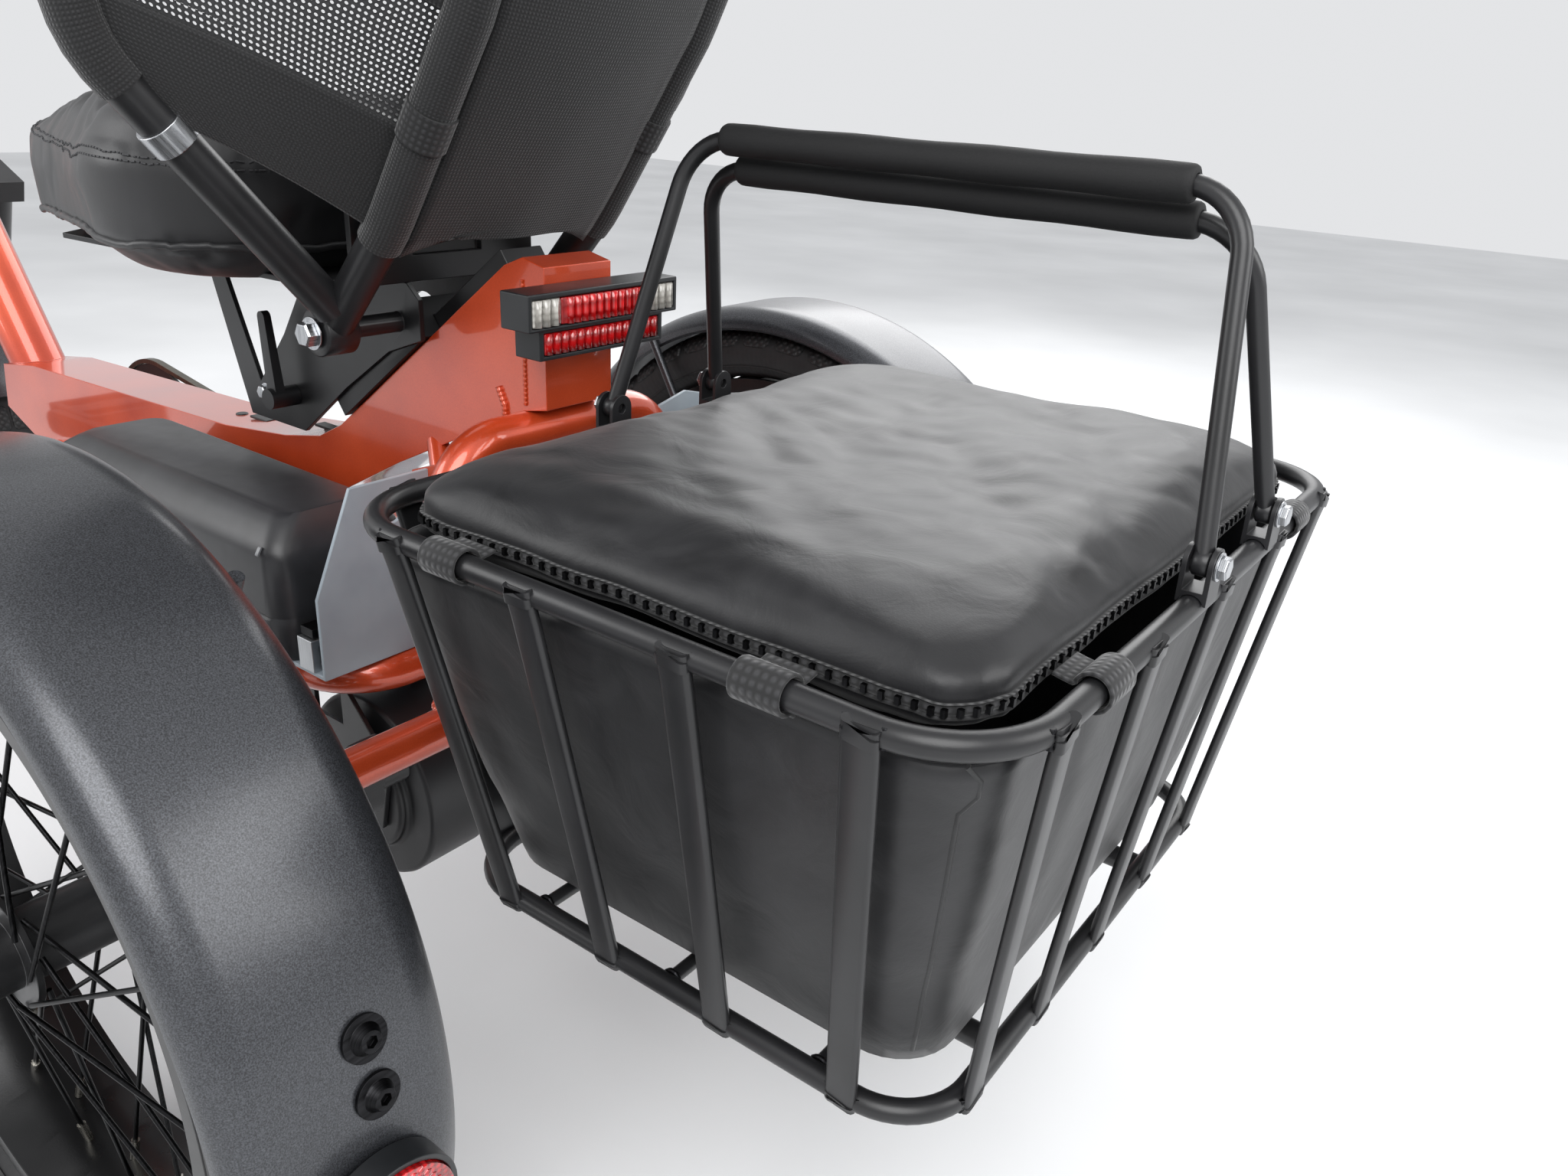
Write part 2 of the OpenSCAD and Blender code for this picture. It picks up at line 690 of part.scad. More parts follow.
module backrest_panel() {
    gap = back_tube / 2 + air;
    color("#1c1c1e") placed() {
        for (i = [1:3]) hull() for (p = [upright_path[i], upright_path[i + 1]], s = [-1, 1])
            translate([p[0], s * (pivot_y - gap - 3), p[2]]) sphere(d = 6, $fn = 16);
        mirrored() hull() {
            for (p = [upright_path[1], upright_path[3]])
                translate(p + [12, gap + 5, 0]) sphere(d = 6, $fn = 16);
            for (p = [wing_path[1], wing_path[2], wing_path[3]])
                translate(p + [-6, -gap - 6, 0]) sphere(d = 6, $fn = 16);
        }
    }
}

// ---- basket -------------------------------------------------------------
module basket_frame() {
    rim = rect(basket_l, basket_w, basket_x, rim_z);
    low = rect(floor_l, floor_w, basket_x, floor_z);
    side_bars = [-0.36, -0.12, 0.12, 0.36];
    end_bars = [-0.4, -0.2, 0, 0.2, 0.4];
    color("#1a1a1b") placed() {
        tube(loop(rim, rim_corner), basket_tube, closed = true);
        tube(loop(low, 40), basket_tube, closed = true);
        for (s = [-1, 1]) {
            for (f = side_bars) flat_bar(
                [basket_x + f * basket_l, s * (basket_w / 2 + 1), rim_z],
                [basket_x + f * floor_l, s * (floor_w / 2 + 1), floor_z], [7, 0, 0]);
            for (f = end_bars) flat_bar(
                [basket_x + s * (basket_l / 2 + 1), f * basket_w, rim_z],
                [basket_x + s * (floor_l / 2 + 1), f * floor_w, floor_z], [0, 7, 0]);
            // runners that carry the basket on the legs of the hoop
            tube(route([[hoop_x - frame_tube / 2 - air, s * hoop_w / 2, cross_z + 22],
                [hoop_x - 58, s * hoop_w / 2, cross_z + 22], [hoop_x - 98, s * hoop_w / 2, floor_z - 12],
                [basket_x - floor_l / 2 + 2, s * hoop_w / 2, floor_z - 12]], 20), 14);
        }
        for (f = [-0.3, 0, 0.3]) hull() {
            ball([basket_x + f * floor_l, floor_w / 2, floor_z], 8);
            ball([basket_x + f * floor_l, -floor_w / 2, floor_z], 8);
        }
    }
}

module flat_bar(a, b, half) {
    hull() for (p = [a, b], s = [-1, 1]) translate(p + s * half) sphere(d = 6, $fn = 12.5);
}

bag_in = basket_tube / 2 + 0.4;
bag_t = 4;
bag_top = rim_z - 14;

// The bag hangs from the rim, a little above the floor bars
module bag_liner() {
    low = floor_z + 14;
    l = floor_l - 2 * bag_in - 8;
    w = floor_w - 2 * bag_in - 8;
    color("#1e1e20") placed() difference() {
        hull() {
            flat_ring(basket_l - 2 * bag_in, basket_w - 2 * bag_in, rim_corner - bag_in, bag_top - 6, 6);
            flat_ring(l, w, 34, low, 4);
        }
        hull() {
            flat_ring(basket_l - 2 * (bag_in + bag_t), basket_w - 2 * (bag_in + bag_t), 36, bag_top - 6, 12);
            flat_ring(l - 2 * bag_t, w - 2 * bag_t, 30, low + bag_t, 4);
        }
    }
}

module flat_ring(l, w, r, z, h) {
    for (x = [-1, 1], y = [-1, 1]) translate([basket_x + x * (l / 2 - r), y * (w / 2 - r), z])
        cylinder(r = r, h = h, $fn = 32);
}

lid_z = bag_top + air;
lid_edge = 28;

module bag_lid() {
    inset = bag_in + 6;
    color("#232325") placed() hull() {
        flat_ring(basket_l - 2 * inset, basket_w - 2 * inset, 36, lid_z, lid_edge);
        flat_ring(basket_l - 130, basket_w - 130, 40, lid_z + lid_edge, 12);
    }
}

module handle_brackets() {
    color("#242426") placed() for (i = [0, 1], s = [-1, 1]) {
        x = basket_x + s * basket_l / 2;
        difference() {
            translate([x, handle_y[i], rim_z]) {
                for (k = [-1, 1]) translate([k * ear_x - ear_t / 2, 0, 0]) {
                    translate([0, 0, pivot_up]) rotate([0, 90, 0]) cylinder(d = 17, h = ear_t, $fn = 32);
                    translate([0, -8.5, 2]) cube([ear_t, 17, pivot_up - 2]);
                }
                translate([-ear_x, -8.5, 2]) cube([2 * ear_x, 17, basket_tube / 2]);
            }
            drum(basket_tube + 2 * air, handle_y[i] - 10, handle_y[i] + 10, x, rim_z, 48);
            translate([x - 10, handle_y[i], rim_z + pivot_up]) rotate([0, 90, 0])
                cylinder(d = pivot_d + 2 * fit, h = 20, $fn = 32);
        }
    }
}

module carry_handle(i) {
    z0 = rim_z + pivot_up;
    top = z0 + handle_h - grip_drop[i];
    inset = 24;
    cuff = 24;
    front = basket_x + basket_l / 2;
    back = basket_x - basket_l / 2;
    y = handle_y[i];
    g = grip_y[i];
    bend = 34;
    color("#1c1c1d") placed() {
        for (e = [[front, 1], [back, -1]]) {
            difference() {
                hull() {
                    translate([e[0] - 4, y, z0]) rotate([0, 90, 0]) cylinder(d = 13, h = 8, $fn = 32);
                    translate([e[0], y + (g - y) * 0.1, z0 + 0.1 * handle_h]) sphere(d = 8, $fn = 16);
                }
                translate([e[0] - 5, y, z0]) rotate([0, 90, 0]) cylinder(d = pivot_d - 0.2, h = 10, $fn = 32);
            }
            translate([e[0] - 8, y, z0]) rotate([0, 90, 0]) cylinder(d = pivot_d, h = 16, $fn = 32);
        }
        tube(route([[front, y + (g - y) * 0.09, z0 + 0.09 * handle_h], [front - inset, g, top],
            [back + inset, g, top], [back, y + (g - y) * 0.09, z0 + 0.09 * handle_h]], bend),
            wire_d, up = [0, 1, 0.1]);
    }
    color("#111112") placed() difference() {
        translate([back + inset + cuff, g, top]) rotate([0, 90, 0])
            cylinder(d = foam_d, h = front - back - 2 * (inset + cuff), $fn = 32);
        translate([back + inset + 40, g, top]) rotate([0, 90, 0])
            cylinder(d = wire_d + 0.4, h = front - back, $fn = 32);
    }
}

module carry_handle_left() carry_handle(0);
module carry_handle_right() carry_handle(1);

// ---- brakes and drive ----------------------------------------------------
module brake_calipers() {
    color("#2b2b2d") placed() for (s = [-1, 1]) {
        y = half_track - disc_y + 1;
        difference() {
            translate([-disc_d / 2 - 20, s * y - 15, axle_z + 2]) cube([44, 30, 56]);
            drum(disc_d + 5, s * y - 2.5, s * y + 2.5, 0, axle_z);
        }
        // arm that bolts to the back of the axle tube
        translate([hoop_x - 30, s * (y - 22) - 4, axle_z + 30])
            cube([30 - frame_tube / 2 - air, 8, 24]);
        translate([hoop_x - 40, s * (y - 16) - 8, axle_z + 30]) cube([16, 16, 24]);
    }
}

module drive_chain() {
    color("#6d6a62") placed() difference() {
        hull() {
            drum(ring_d + 12, chain_y - chain_w / 2, chain_y + chain_w / 2, crank_x, crank_z);
            drum(sprocket_d + 12, chain_y - chain_w / 2, chain_y + chain_w / 2, 0, axle_z);
        }
        hull() {
            drum(ring_d + 2, chain_y - chain_w, chain_y + chain_w, crank_x, crank_z);
            drum(sprocket_d + 2, chain_y - chain_w, chain_y + chain_w, 0, axle_z);
        }
    }
}

// The sprocket turns on the spindle of the inner right block
module rear_sprocket() {
    color("#8d8f92") placed() translate([0, 0, axle_z]) difference() {
        union() {
            drum(sprocket_d + 1, chain_y - 2, chain_y + 2);
            drum(34, chain_y - 10, chain_y + 10);
        }
        drum(axle_d + 2 * fit, chain_y - 11, chain_y + 11, 0, 0, 48);
    }
}

module crank_set() {
    color("#1b1b1c") placed() translate([crank_x, 0, crank_z]) {
        drum(axle_d, -arm_y, arm_y, 0, 0, 48);
        drum(ring_d + 1, chain_y - 2, chain_y + 2);
        drum(70, -arm_y, chain_y + 3, 0, 0, 48);
        for (s = [-1, 1]) hull() {
            drum(34, s * arm_y - 6, s * arm_y + 6, 0, 0, 32);
            drum(26, s * arm_y - 6, s * arm_y + 6, s * crank_l, 0, 32);
        }
    }
}

module pedal(s) {
    color("#151516") placed() translate([crank_x + s * crank_l, 0, crank_z]) difference() {
        union() {
            translate([-45, s > 0 ? pedal_y : -pedal_y - 92, -11]) cube([90, 92, 22]);
            drum(18, s > 0 ? arm_y + 6 + air : -pedal_y, s > 0 ? pedal_y : -arm_y - 6 - air, 0, 0, 32);
        }
        for (k = [-1, 1]) translate([k * 27 - 12, s > 0 ? pedal_y + 10 : -pedal_y - 82, -12])
            cube([24, 72, 24]);
    }
}

module pedal_left() pedal(1);
module pedal_right() pedal(-1);

// ---- front end -----------------------------------------------------------
module fork() {
    crown = on_steer(crown_up);
    color("#c8421b") placed() {
        rod(on_steer(crown_up - 4), on_steer(head_high + 10), steerer_d, 64);
        rod(on_steer(crown_up + 2), on_steer(head_low - 0.5), 44, 48);
        translate(crown) rotate([0, head_angle - 90, 0]) translate([-22, -fork_y - 12, -14])
            cube([64, 2 * fork_y + 24, 24]);
        for (s = [-1, 1]) rod([wheelbase, s * fork_y, axle_z], crown + [18, s * fork_y, 0], fork_tube, 32);
    }
}

bar_z = axle_z + 690;
bar_x = lean(bar_z) + 20;

module handlebar() {
    grip_end = [bar_x - 250, 330, bar_z + 26];
    color("#1d1d1e") placed() {
        rod(on_steer(head_high + 10 + air), on_steer(head_high + 26), 46, 48);
        rod(on_steer(head_high + 24), [bar_x, 0, bar_z], 34, 32);
        tube(route([[grip_end[0], grip_end[1], grip_end[2]], [bar_x - 50, 250, bar_z + 34],
            [bar_x, 40, bar_z], [bar_x, -40, bar_z], [bar_x - 50, -250, bar_z + 34],
            [grip_end[0], -grip_end[1], grip_end[2]]], 60), 25.4);
        // perches of the brake levers, each with its pin
        for (s = [-1, 1]) translate(mirror_y(lever_pin, s)) {
            translate([0, 0, -28]) cylinder(d = 18, h = 28 - air, $fn = 32);
            translate([0, 0, -2]) cylinder(d = pivot_d, h = 13, $fn = 32);
        }
    }
}

module hand_grips() {
    a = [bar_x - 250, 330, bar_z + 26];
    b = [bar_x - 50, 250, bar_z + 34];
    color("#101011") placed() for (s = [-1, 1]) difference() {
        rod(mirror_y(a + (a - b) * 0.02, s), mirror_y(a + (b - a) * 0.6, s), 34, 32);
        rod(mirror_y(a, s), mirror_y(b, s), 25.8, 32);
    }
}

function mirror_y(p, s) = [p[0], s * p[1], p[2]];

lever_pin = [bar_x - 62, 262, bar_z + 54];

module brake_lever(s) {
    a = lever_pin;
    color("#222224") placed() difference() {
        hull() {
            translate(mirror_y(a, s)) cylinder(d = 16, h = 10, $fn = 24);
            translate(mirror_y(a + [-10, 46, 0], s)) cylinder(d = 12, h = 9, $fn = 24);
            translate(mirror_y(a + [-130, 104, 0], s)) cylinder(d = 12, h = 9, $fn = 24);
        }
        translate(mirror_y(a, s) - [0, 0, 1]) cylinder(d = pivot_d + 2 * fit, h = 12, $fn = 32);
    }
}

module brake_lever_left() brake_lever(1);
module brake_lever_right() brake_lever(-1);

module display() {
    color("#111113") placed() translate([bar_x - 30.6, 0, bar_z + 21.6]) rotate([0, -30, 0])
        translate([-6, -38, -22]) difference() {
            cube([16, 76, 52]);
            translate([-1, 5, 5]) cube([2, 66, 42]);
        }
}

module front_fender() {
    color("#3a3b3e") placed() {
        at_wheel(2) fender_arch(min(fender_w, 2 * fork_y - fork_tube - 2), 46, 162);
        rod(on_steer(fender_r - 22), on_steer(crown_up - 14.5), 18, 24);
    }
}

module tyre_left() tyre(0);
module tyre_right() tyre(1);
module tyre_front() tyre(2);
module rim_left() rim(0);
module rim_right() rim(1);
module rim_front() rim(2);
module spokes_left() spokes(0);
module spokes_right() spokes(1);
module spokes_front() spokes(2);
module hub_left() hub(0);
module hub_right() hub(1);
module hub_front() hub(2);

main_beam();
rear_frame();
battery_cradle();
frame_gussets();
deck_plate();
side_plate();
axle_bearings();
rack_plate();
motor_drum();
motor_bracket();
tail_light_housing();
tail_light_lens();
turn_lenses();
fender_left();
fender_right();
fender_bolts();
side_reflectors();
reflector_cups();
battery_case();
battery_clips();
battery_lead();
seat_rail();
basket_frame();
bag_liner();
handle_brackets();
brake_calipers();
drive_chain();
tyre_left();
rim_left();
spokes_left();
hub_left();
tyre_right();
rim_right();
spokes_right();
hub_right();
tyre_front();
rim_front();
spokes_front();
hub_front();
fork();
handlebar();
hand_grips();
headlight();
display();
front_fender();
crank_set();
pedal_left();
pedal_right();
rear_sprocket();
seat_cushion();
seat_pan();
seat_bracket();
backrest_frame();
backrest_panel();
brake_lever_left();
brake_lever_right();
seat_clamp_lever();
carry_handle_left();
carry_handle_right();
bag_lid();
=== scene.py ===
# Adult tricycle with a lined cargo basket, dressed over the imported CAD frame. Blender 4.5.
import json
import math

import bmesh
import bpy
from mathutils import Matrix, Vector, noise
from mathutils.bvhtree import BVHTree


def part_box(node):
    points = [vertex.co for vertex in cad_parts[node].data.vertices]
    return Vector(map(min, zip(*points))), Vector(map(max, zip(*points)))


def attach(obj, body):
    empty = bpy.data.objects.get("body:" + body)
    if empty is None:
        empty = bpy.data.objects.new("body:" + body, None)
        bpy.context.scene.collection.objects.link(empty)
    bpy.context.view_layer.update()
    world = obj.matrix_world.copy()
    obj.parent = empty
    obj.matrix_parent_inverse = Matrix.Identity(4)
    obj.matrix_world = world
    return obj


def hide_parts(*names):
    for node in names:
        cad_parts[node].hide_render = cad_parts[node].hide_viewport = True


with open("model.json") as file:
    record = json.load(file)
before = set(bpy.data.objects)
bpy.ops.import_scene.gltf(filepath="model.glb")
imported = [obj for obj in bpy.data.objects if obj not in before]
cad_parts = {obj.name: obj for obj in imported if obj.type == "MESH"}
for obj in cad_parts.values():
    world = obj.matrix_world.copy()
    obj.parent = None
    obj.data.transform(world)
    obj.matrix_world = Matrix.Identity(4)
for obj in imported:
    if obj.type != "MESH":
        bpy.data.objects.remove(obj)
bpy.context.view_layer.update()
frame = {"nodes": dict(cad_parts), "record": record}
nodes = frame["nodes"]
print("frame loaded:", len(nodes), "nodes")

mm = 0.001
bodyOf = {node: body for body, held in frame["record"]["behaviour"]["bodies"].items() for node in held}


def middleOf(node):
    low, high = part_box(node)
    return (Vector(low) + Vector(high)) / 2


# Everything below is in millimetres from the middle of the rear axle: x forward, y left, z up
wheelMiddle = middleOf("tyre_left")
axle = Vector((wheelMiddle.x, 0, wheelMiddle.z))
halfTrack = wheelMiddle.y / mm
frontAxle = (middleOf("tyre_front").x - axle.x) / mm


# Camera, floor and light come first: they say how much shows
camera = {"place": (-631.2, 559.1, 462.3), "yaw": -54.95, "pitch": 23.10, "roll": 3.40, "lens": 27.30}


def placeCamera(c):
    yaw, pitch, roll = (math.radians(c[k]) for k in ("yaw", "pitch", "roll"))
    ahead = Vector((math.cos(yaw) * math.cos(pitch), math.sin(yaw) * math.cos(pitch), -math.sin(pitch)))
    level = Vector((math.sin(yaw), -math.cos(yaw), 0))
    above = level.cross(ahead)
    right = math.cos(roll) * level + math.sin(roll) * above
    up = -math.sin(roll) * level + math.cos(roll) * above
    data = bpy.data.cameras.new("camera")
    data.lens, data.sensor_width = c["lens"], 36
    data.clip_start, data.clip_end = 0.02, 60
    eye = bpy.data.objects.new("camera", data)
    turn = Matrix((right, up, -ahead)).transposed().to_4x4()
    eye.matrix_world = Matrix.Translation(axle + Vector(c["place"]) * mm) @ turn
    bpy.context.scene.collection.objects.link(eye)
    bpy.context.scene.camera = eye


def srgb(code):
    parts = [int(code[i:i + 2], 16) / 255 for i in (1, 3, 5)]
    return tuple(p / 12.92 if p <= 0.04045 else ((p + 0.055) / 1.055) ** 2.4 for p in parts) + (1,)


# One node, its settings by socket or property name, and its links by socket name
def addNode(tree, kind, settings=(), links=()):
    made = tree.nodes.new(kind)
    for key, value in dict(settings).items():
        if isinstance(key, int) or key in made.inputs:
            made.inputs[key].default_value = value
        else:
            setattr(made, key, value)
    for key, source in dict(links).items():
        tree.links.new(source, made.inputs[key])
    return made


def startMaterial(name, **sockets):
    made = bpy.data.materials.new(name)
    made.use_nodes = True
    tree = made.node_tree
    shader = tree.nodes["Principled BSDF"]
    for key, value in sockets.items():
        shader.inputs[key.replace("_", " ")].default_value = value
    return made, tree, shader


def perMm(size):
    return 1000 / size  # object coordinates are metres, so this repeats once every size mm


def perWave(size):
    return perMm(size) / 6.283  # a wave texture counts in radians


def ramp(tree, source, stops, mode="LINEAR"):
    made = addNode(tree, "ShaderNodeValToRGB", {}, {"Fac": source})
    band = made.color_ramp
    band.interpolation = mode
    while len(band.elements) < len(stops):
        band.elements.new(0.5)
    for element, (spot, colour) in zip(band.elements, stops):
        element.position, element.color = spot, colour
    return made.outputs["Color"]


def bumpUp(tree, shader, layers):
    last = None
    for height, strength, distance in layers:
        made = addNode(tree, "ShaderNodeBump", {"Strength": strength, "Distance": distance * mm},
                       {"Height": height})
        if last:
            tree.links.new(last, made.inputs["Normal"])
        last = made.outputs["Normal"]
    tree.links.new(last, shader.inputs["Normal"])


def objectPlace(tree):
    return addNode(tree, "ShaderNodeTexCoord").outputs["Object"]


def uvPlace(tree):
    return addNode(tree, "ShaderNodeTexCoord").outputs["UV"]


def speckle(tree, place, size, detail=3, **more):
    return addNode(tree, "ShaderNodeTexNoise", {"Scale": perMm(size), "Detail": detail, **more},
                   {"Vector": place}).outputs["Fac"]


def tint(tree, shader, source, dark, light, spread=(0.3, 0.7)):
    colour = ramp(tree, source, [(spread[0], srgb(dark)), (spread[1], srgb(light))])
    tree.links.new(colour, shader.inputs["Base Color"])


def roughen(tree, shader, source, low, high):
    made = addNode(tree, "ShaderNodeMapRange", {"To Min": low, "To Max": high}, {"Value": source})
    tree.links.new(made.outputs["Result"], shader.inputs["Roughness"])


# Two-coat metallic lacquer over steel: flakes glint under a clear layer, so edges go pale and hollows deep red
def frameLacquer():
    made, tree, shader = startMaterial("frame lacquer", Metallic=0.35, IOR=1.5, Coat_Weight=1.0,
                                       Coat_Roughness=0.06)
    place = objectPlace(tree)
    flakes = speckle(tree, place, 0.9, 2)
    cloud = speckle(tree, place, 90)
    mixed = addNode(tree, "ShaderNodeMath", {"operation": "MULTIPLY_ADD", 1: 0.35}, {0: flakes, 2: cloud})
    tint(tree, shader, mixed.outputs[0], "#A83010", "#D9542A", (0.35, 1.0))
    roughen(tree, shader, cloud, 0.28, 0.40)
    bumpUp(tree, shader, [(speckle(tree, place, 3.2, 1), 0.10, 0.25), (flakes, 0.06, 0.1)])
    return made


# Powder coat baked on steel: a fine orange-peel skin that spreads each highlight
def powderCoat(name, dark, light, rough, peel=0.9, metallic=0.0):
    made, tree, shader = startMaterial(name, Metallic=metallic, IOR=1.5)
    place = objectPlace(tree)
    cloud = speckle(tree, place, 60)
    tint(tree, shader, cloud, dark, light)
    roughen(tree, shader, speckle(tree, place, 25), rough - 0.05, rough + 0.07)
    bumpUp(tree, shader, [(speckle(tree, place, peel, 2), 0.25, 0.12)])
    return made


# Lacquered steel with dark metal flake and a satin clear coat
def fenderLacquer():
    made, tree, shader = startMaterial("satin metallic lacquer", Metallic=0.6, IOR=1.5, Coat_Weight=0.5,
                                       Coat_Roughness=0.22)
    place = objectPlace(tree)
    flakes = speckle(tree, place, 0.7, 2)
    tint(tree, shader, flakes, "#2B2C2F", "#54565B", (0.35, 0.75))
    roughen(tree, shader, speckle(tree, place, 45), 0.34, 0.44)
    bumpUp(tree, shader, [(flakes, 0.08, 0.08), (speckle(tree, place, 8, 1), 0.05, 0.3)])
    return made


# ABS from a spark-eroded mould: an even matt grain
def mouldedAbs(name, dark, light, rough, grain=0.8, depth=0.3):
    made, tree, shader = startMaterial(name, IOR=1.53)
    place = objectPlace(tree)
    tint(tree, shader, speckle(tree, place, 40), dark, light)
    roughen(tree, shader, speckle(tree, place, 12), rough - 0.04, rough + 0.05)
    bumpUp(tree, shader, [(speckle(tree, place, grain, 4), depth, 0.1)])
    return made


# Acrylic lens with a moulded honeycomb of small prisms behind a polished face; each cell is painted bright in the
# middle and dark at the rim: painted reflection and painted shade of the prisms
def prismLens(name, deep, bright, cell=3.4, clear=0.0):
    made, tree, shader = startMaterial(name, IOR=1.49, Roughness=0.14, Coat_Weight=1.0, Coat_Roughness=0.03,
                                       Transmission_Weight=clear)
    place = objectPlace(tree)
    prisms = addNode(tree, "ShaderNodeTexVoronoi", {"Scale": perMm(cell), "feature": "F1", "Randomness": 0.12},
                     {"Vector": place})
    # painted light: the bright colour is a painted reflection at each prism's middle, the deep colour painted
    # shade at its rim
    colour = ramp(tree, prisms.outputs["Distance"], [(0.15, srgb(bright)), (0.62, srgb(deep))])
    tree.links.new(colour, shader.inputs["Base Color"])
    bumpUp(tree, shader, [(prisms.outputs["Distance"], 0.7, 0.6)])
    return made


# Moulded tyre rubber: matt, with a dusty bloom that varies at random
def tyreRubber():
    made, tree, shader = startMaterial("moulded tyre rubber", IOR=1.52)
    place, around = objectPlace(tree), uvPlace(tree)
    tint(tree, shader, speckle(tree, place, 30), "#161617", "#222223")
    roughen(tree, shader, speckle(tree, place, 6), 0.55, 0.72)
    ribs = addNode(tree, "ShaderNodeTexWave", {"Scale": perWave(3.0), "Distortion": 0.0,
                                               "bands_direction": "X"}, {"Vector": around}).outputs["Fac"]
    bumpUp(tree, shader, [(ribs, 0.25, 0.35), (speckle(tree, place, 1.2, 3), 0.25, 0.12)])
    return made


# Diamond knurl cut into the tread blocks, about 2.4 mm from point to point; the knurl pattern also sets the
# colour, as painted shade in the grooves and painted highlight on the ridges
def knurledRubber():
    made, tree, shader = startMaterial("knurled tyre rubber", IOR=1.52)
    place, around = objectPlace(tree), uvPlace(tree)
    waves = []
    for lean in (45, -45):
        turned = addNode(tree, "ShaderNodeMapping", {"Rotation": (0, 0, math.radians(lean))}, {"Vector": around})
        waves.append(addNode(tree, "ShaderNodeTexWave", {"Scale": perWave(2.6), "bands_direction": "X"},
                             {"Vector": turned.outputs["Vector"]}).outputs["Fac"])
    both = addNode(tree, "ShaderNodeMath", {"operation": "MULTIPLY"}, {0: waves[0], 1: waves[1]}).outputs[0]
    # painted shade and painted highlight: dark in the knurl grooves, light on the ridges
    tint(tree, shader, both, "#101011", "#29292A", (0.05, 0.6))
    roughen(tree, shader, speckle(tree, place, 8), 0.5, 0.64)
    bumpUp(tree, shader, [(both, 0.9, 0.7)])
    return made


# Bare metal, brushed one way: fine scratches stretch the highlight
def brushedMetal(name, dark, light, rough, grain=(0.35, 30, 30)):
    made, tree, shader = startMaterial(name, Metallic=1.0)
    place = objectPlace(tree)
    stretched = addNode(tree, "ShaderNodeMapping", {"Scale": tuple(perMm(g) for g in grain)}, {"Vector": place})
    scratches = addNode(tree, "ShaderNodeTexNoise", {"Scale": 1.0, "Detail": 3},
                        {"Vector": stretched.outputs["Vector"]}).outputs["Fac"]
    tint(tree, shader, scratches, dark, light)
    roughen(tree, shader, scratches, rough - 0.05, rough + 0.1)
    bumpUp(tree, shader, [(scratches, 0.12, 0.05)])
    return made


# Nylon cloth with a polyurethane coat: soft sheen, with small creases; the crease noise also sets the colour, as
# painted shade in the crease hollows and painted sheen on their ridges
def coatedCloth(name="coated nylon cloth", dark="#101012", light="#1E1E20"):
    made, tree, shader = startMaterial(name, IOR=1.46, Sheen_Weight=0.12, Sheen_Roughness=0.4)
    place = objectPlace(tree)
    creases = addNode(tree, "ShaderNodeTexNoise", {"Scale": perMm(38), "Detail": 5, "Distortion": 0.8},
                      {"Vector": place}).outputs["Fac"]
    # painted shade in the crease hollows, painted sheen on their ridges
    tint(tree, shader, creases, dark, light)
    roughen(tree, shader, creases, 0.36, 0.55)
    thread = addNode(tree, "ShaderNodeTexVoronoi", {"Scale": perMm(0.9)}, {"Vector": place}).outputs["Distance"]
    bumpUp(tree, shader, [(creases, 0.35, 2.5), (thread, 0.25, 0.08)])
    return made


# Grained vinyl over foam: small pebbles, dull in the hollows
def grainedVinyl():
    made, tree, shader = startMaterial("grained vinyl", IOR=1.5, Sheen_Weight=0.05)
    place = objectPlace(tree)
    pebbles = addNode(tree, "ShaderNodeTexVoronoi", {"Scale": perMm(1.7), "feature": "DISTANCE_TO_EDGE"},
                      {"Vector": place}).outputs["Distance"]
    tint(tree, shader, speckle(tree, place, 70), "#171718", "#242426")
    roughen(tree, shader, speckle(tree, place, 18), 0.38, 0.5)
    bumpUp(tree, shader, [(pebbles, 0.35, 0.14), (speckle(tree, place, 55, 4), 0.25, 2.0)])
    return made


# Spacer mesh knitted from black yarn: round holes about 3 mm apart, the yarn painted darker towards each hole's
# rim as painted shade
def knittedMesh():
    made, tree, shader = startMaterial("knitted spacer mesh", IOR=1.46, Sheen_Weight=0.3, Roughness=0.75)
    around = uvPlace(tree)
    holes = addNode(tree, "ShaderNodeTexVoronoi", {"Scale": perMm(3.4), "Randomness": 0.0},
                    {"Vector": around}).outputs["Distance"]
    # painted shade: the yarn darkens towards the rim of each hole
    tint(tree, shader, holes, "#0C0C0D", "#2C2C2E", (0.2, 0.6))
    seen = addNode(tree, "ShaderNodeMath", {"operation": "GREATER_THAN", 1: 0.30}, {0: holes}).outputs[0]
    tree.links.new(seen, shader.inputs["Alpha"])
    bumpUp(tree, shader, [(holes, 0.8, 0.5)])
    return made


# Polyester webbing: raised ribs across the band, 2 mm apart; the rib pattern also sets the colour, as painted
# shade between the ribs and painted highlight on their tops
def wovenWebbing(name="woven webbing", dark="#0B0B0C", light="#29292B", pitch=2.0):
    made, tree, shader = startMaterial(name, IOR=1.46, Sheen_Weight=0.2, Roughness=0.7)
    around = uvPlace(tree)
    weave = []
    for way in ("X", "Y"):
        weave.append(addNode(tree, "ShaderNodeTexWave", {"Scale": perWave(pitch), "bands_direction": way},
                             {"Vector": around}).outputs["Fac"])
    both = addNode(tree, "ShaderNodeMath", {"operation": "MULTIPLY"}, {0: weave[0], 1: weave[1]}).outputs[0]
    # painted shade between the ribs and painted highlight on their tops
    tint(tree, shader, both, dark, light, (0.0, 0.7))
    bumpUp(tree, shader, [(both, 0.8, 0.5)])
    return made


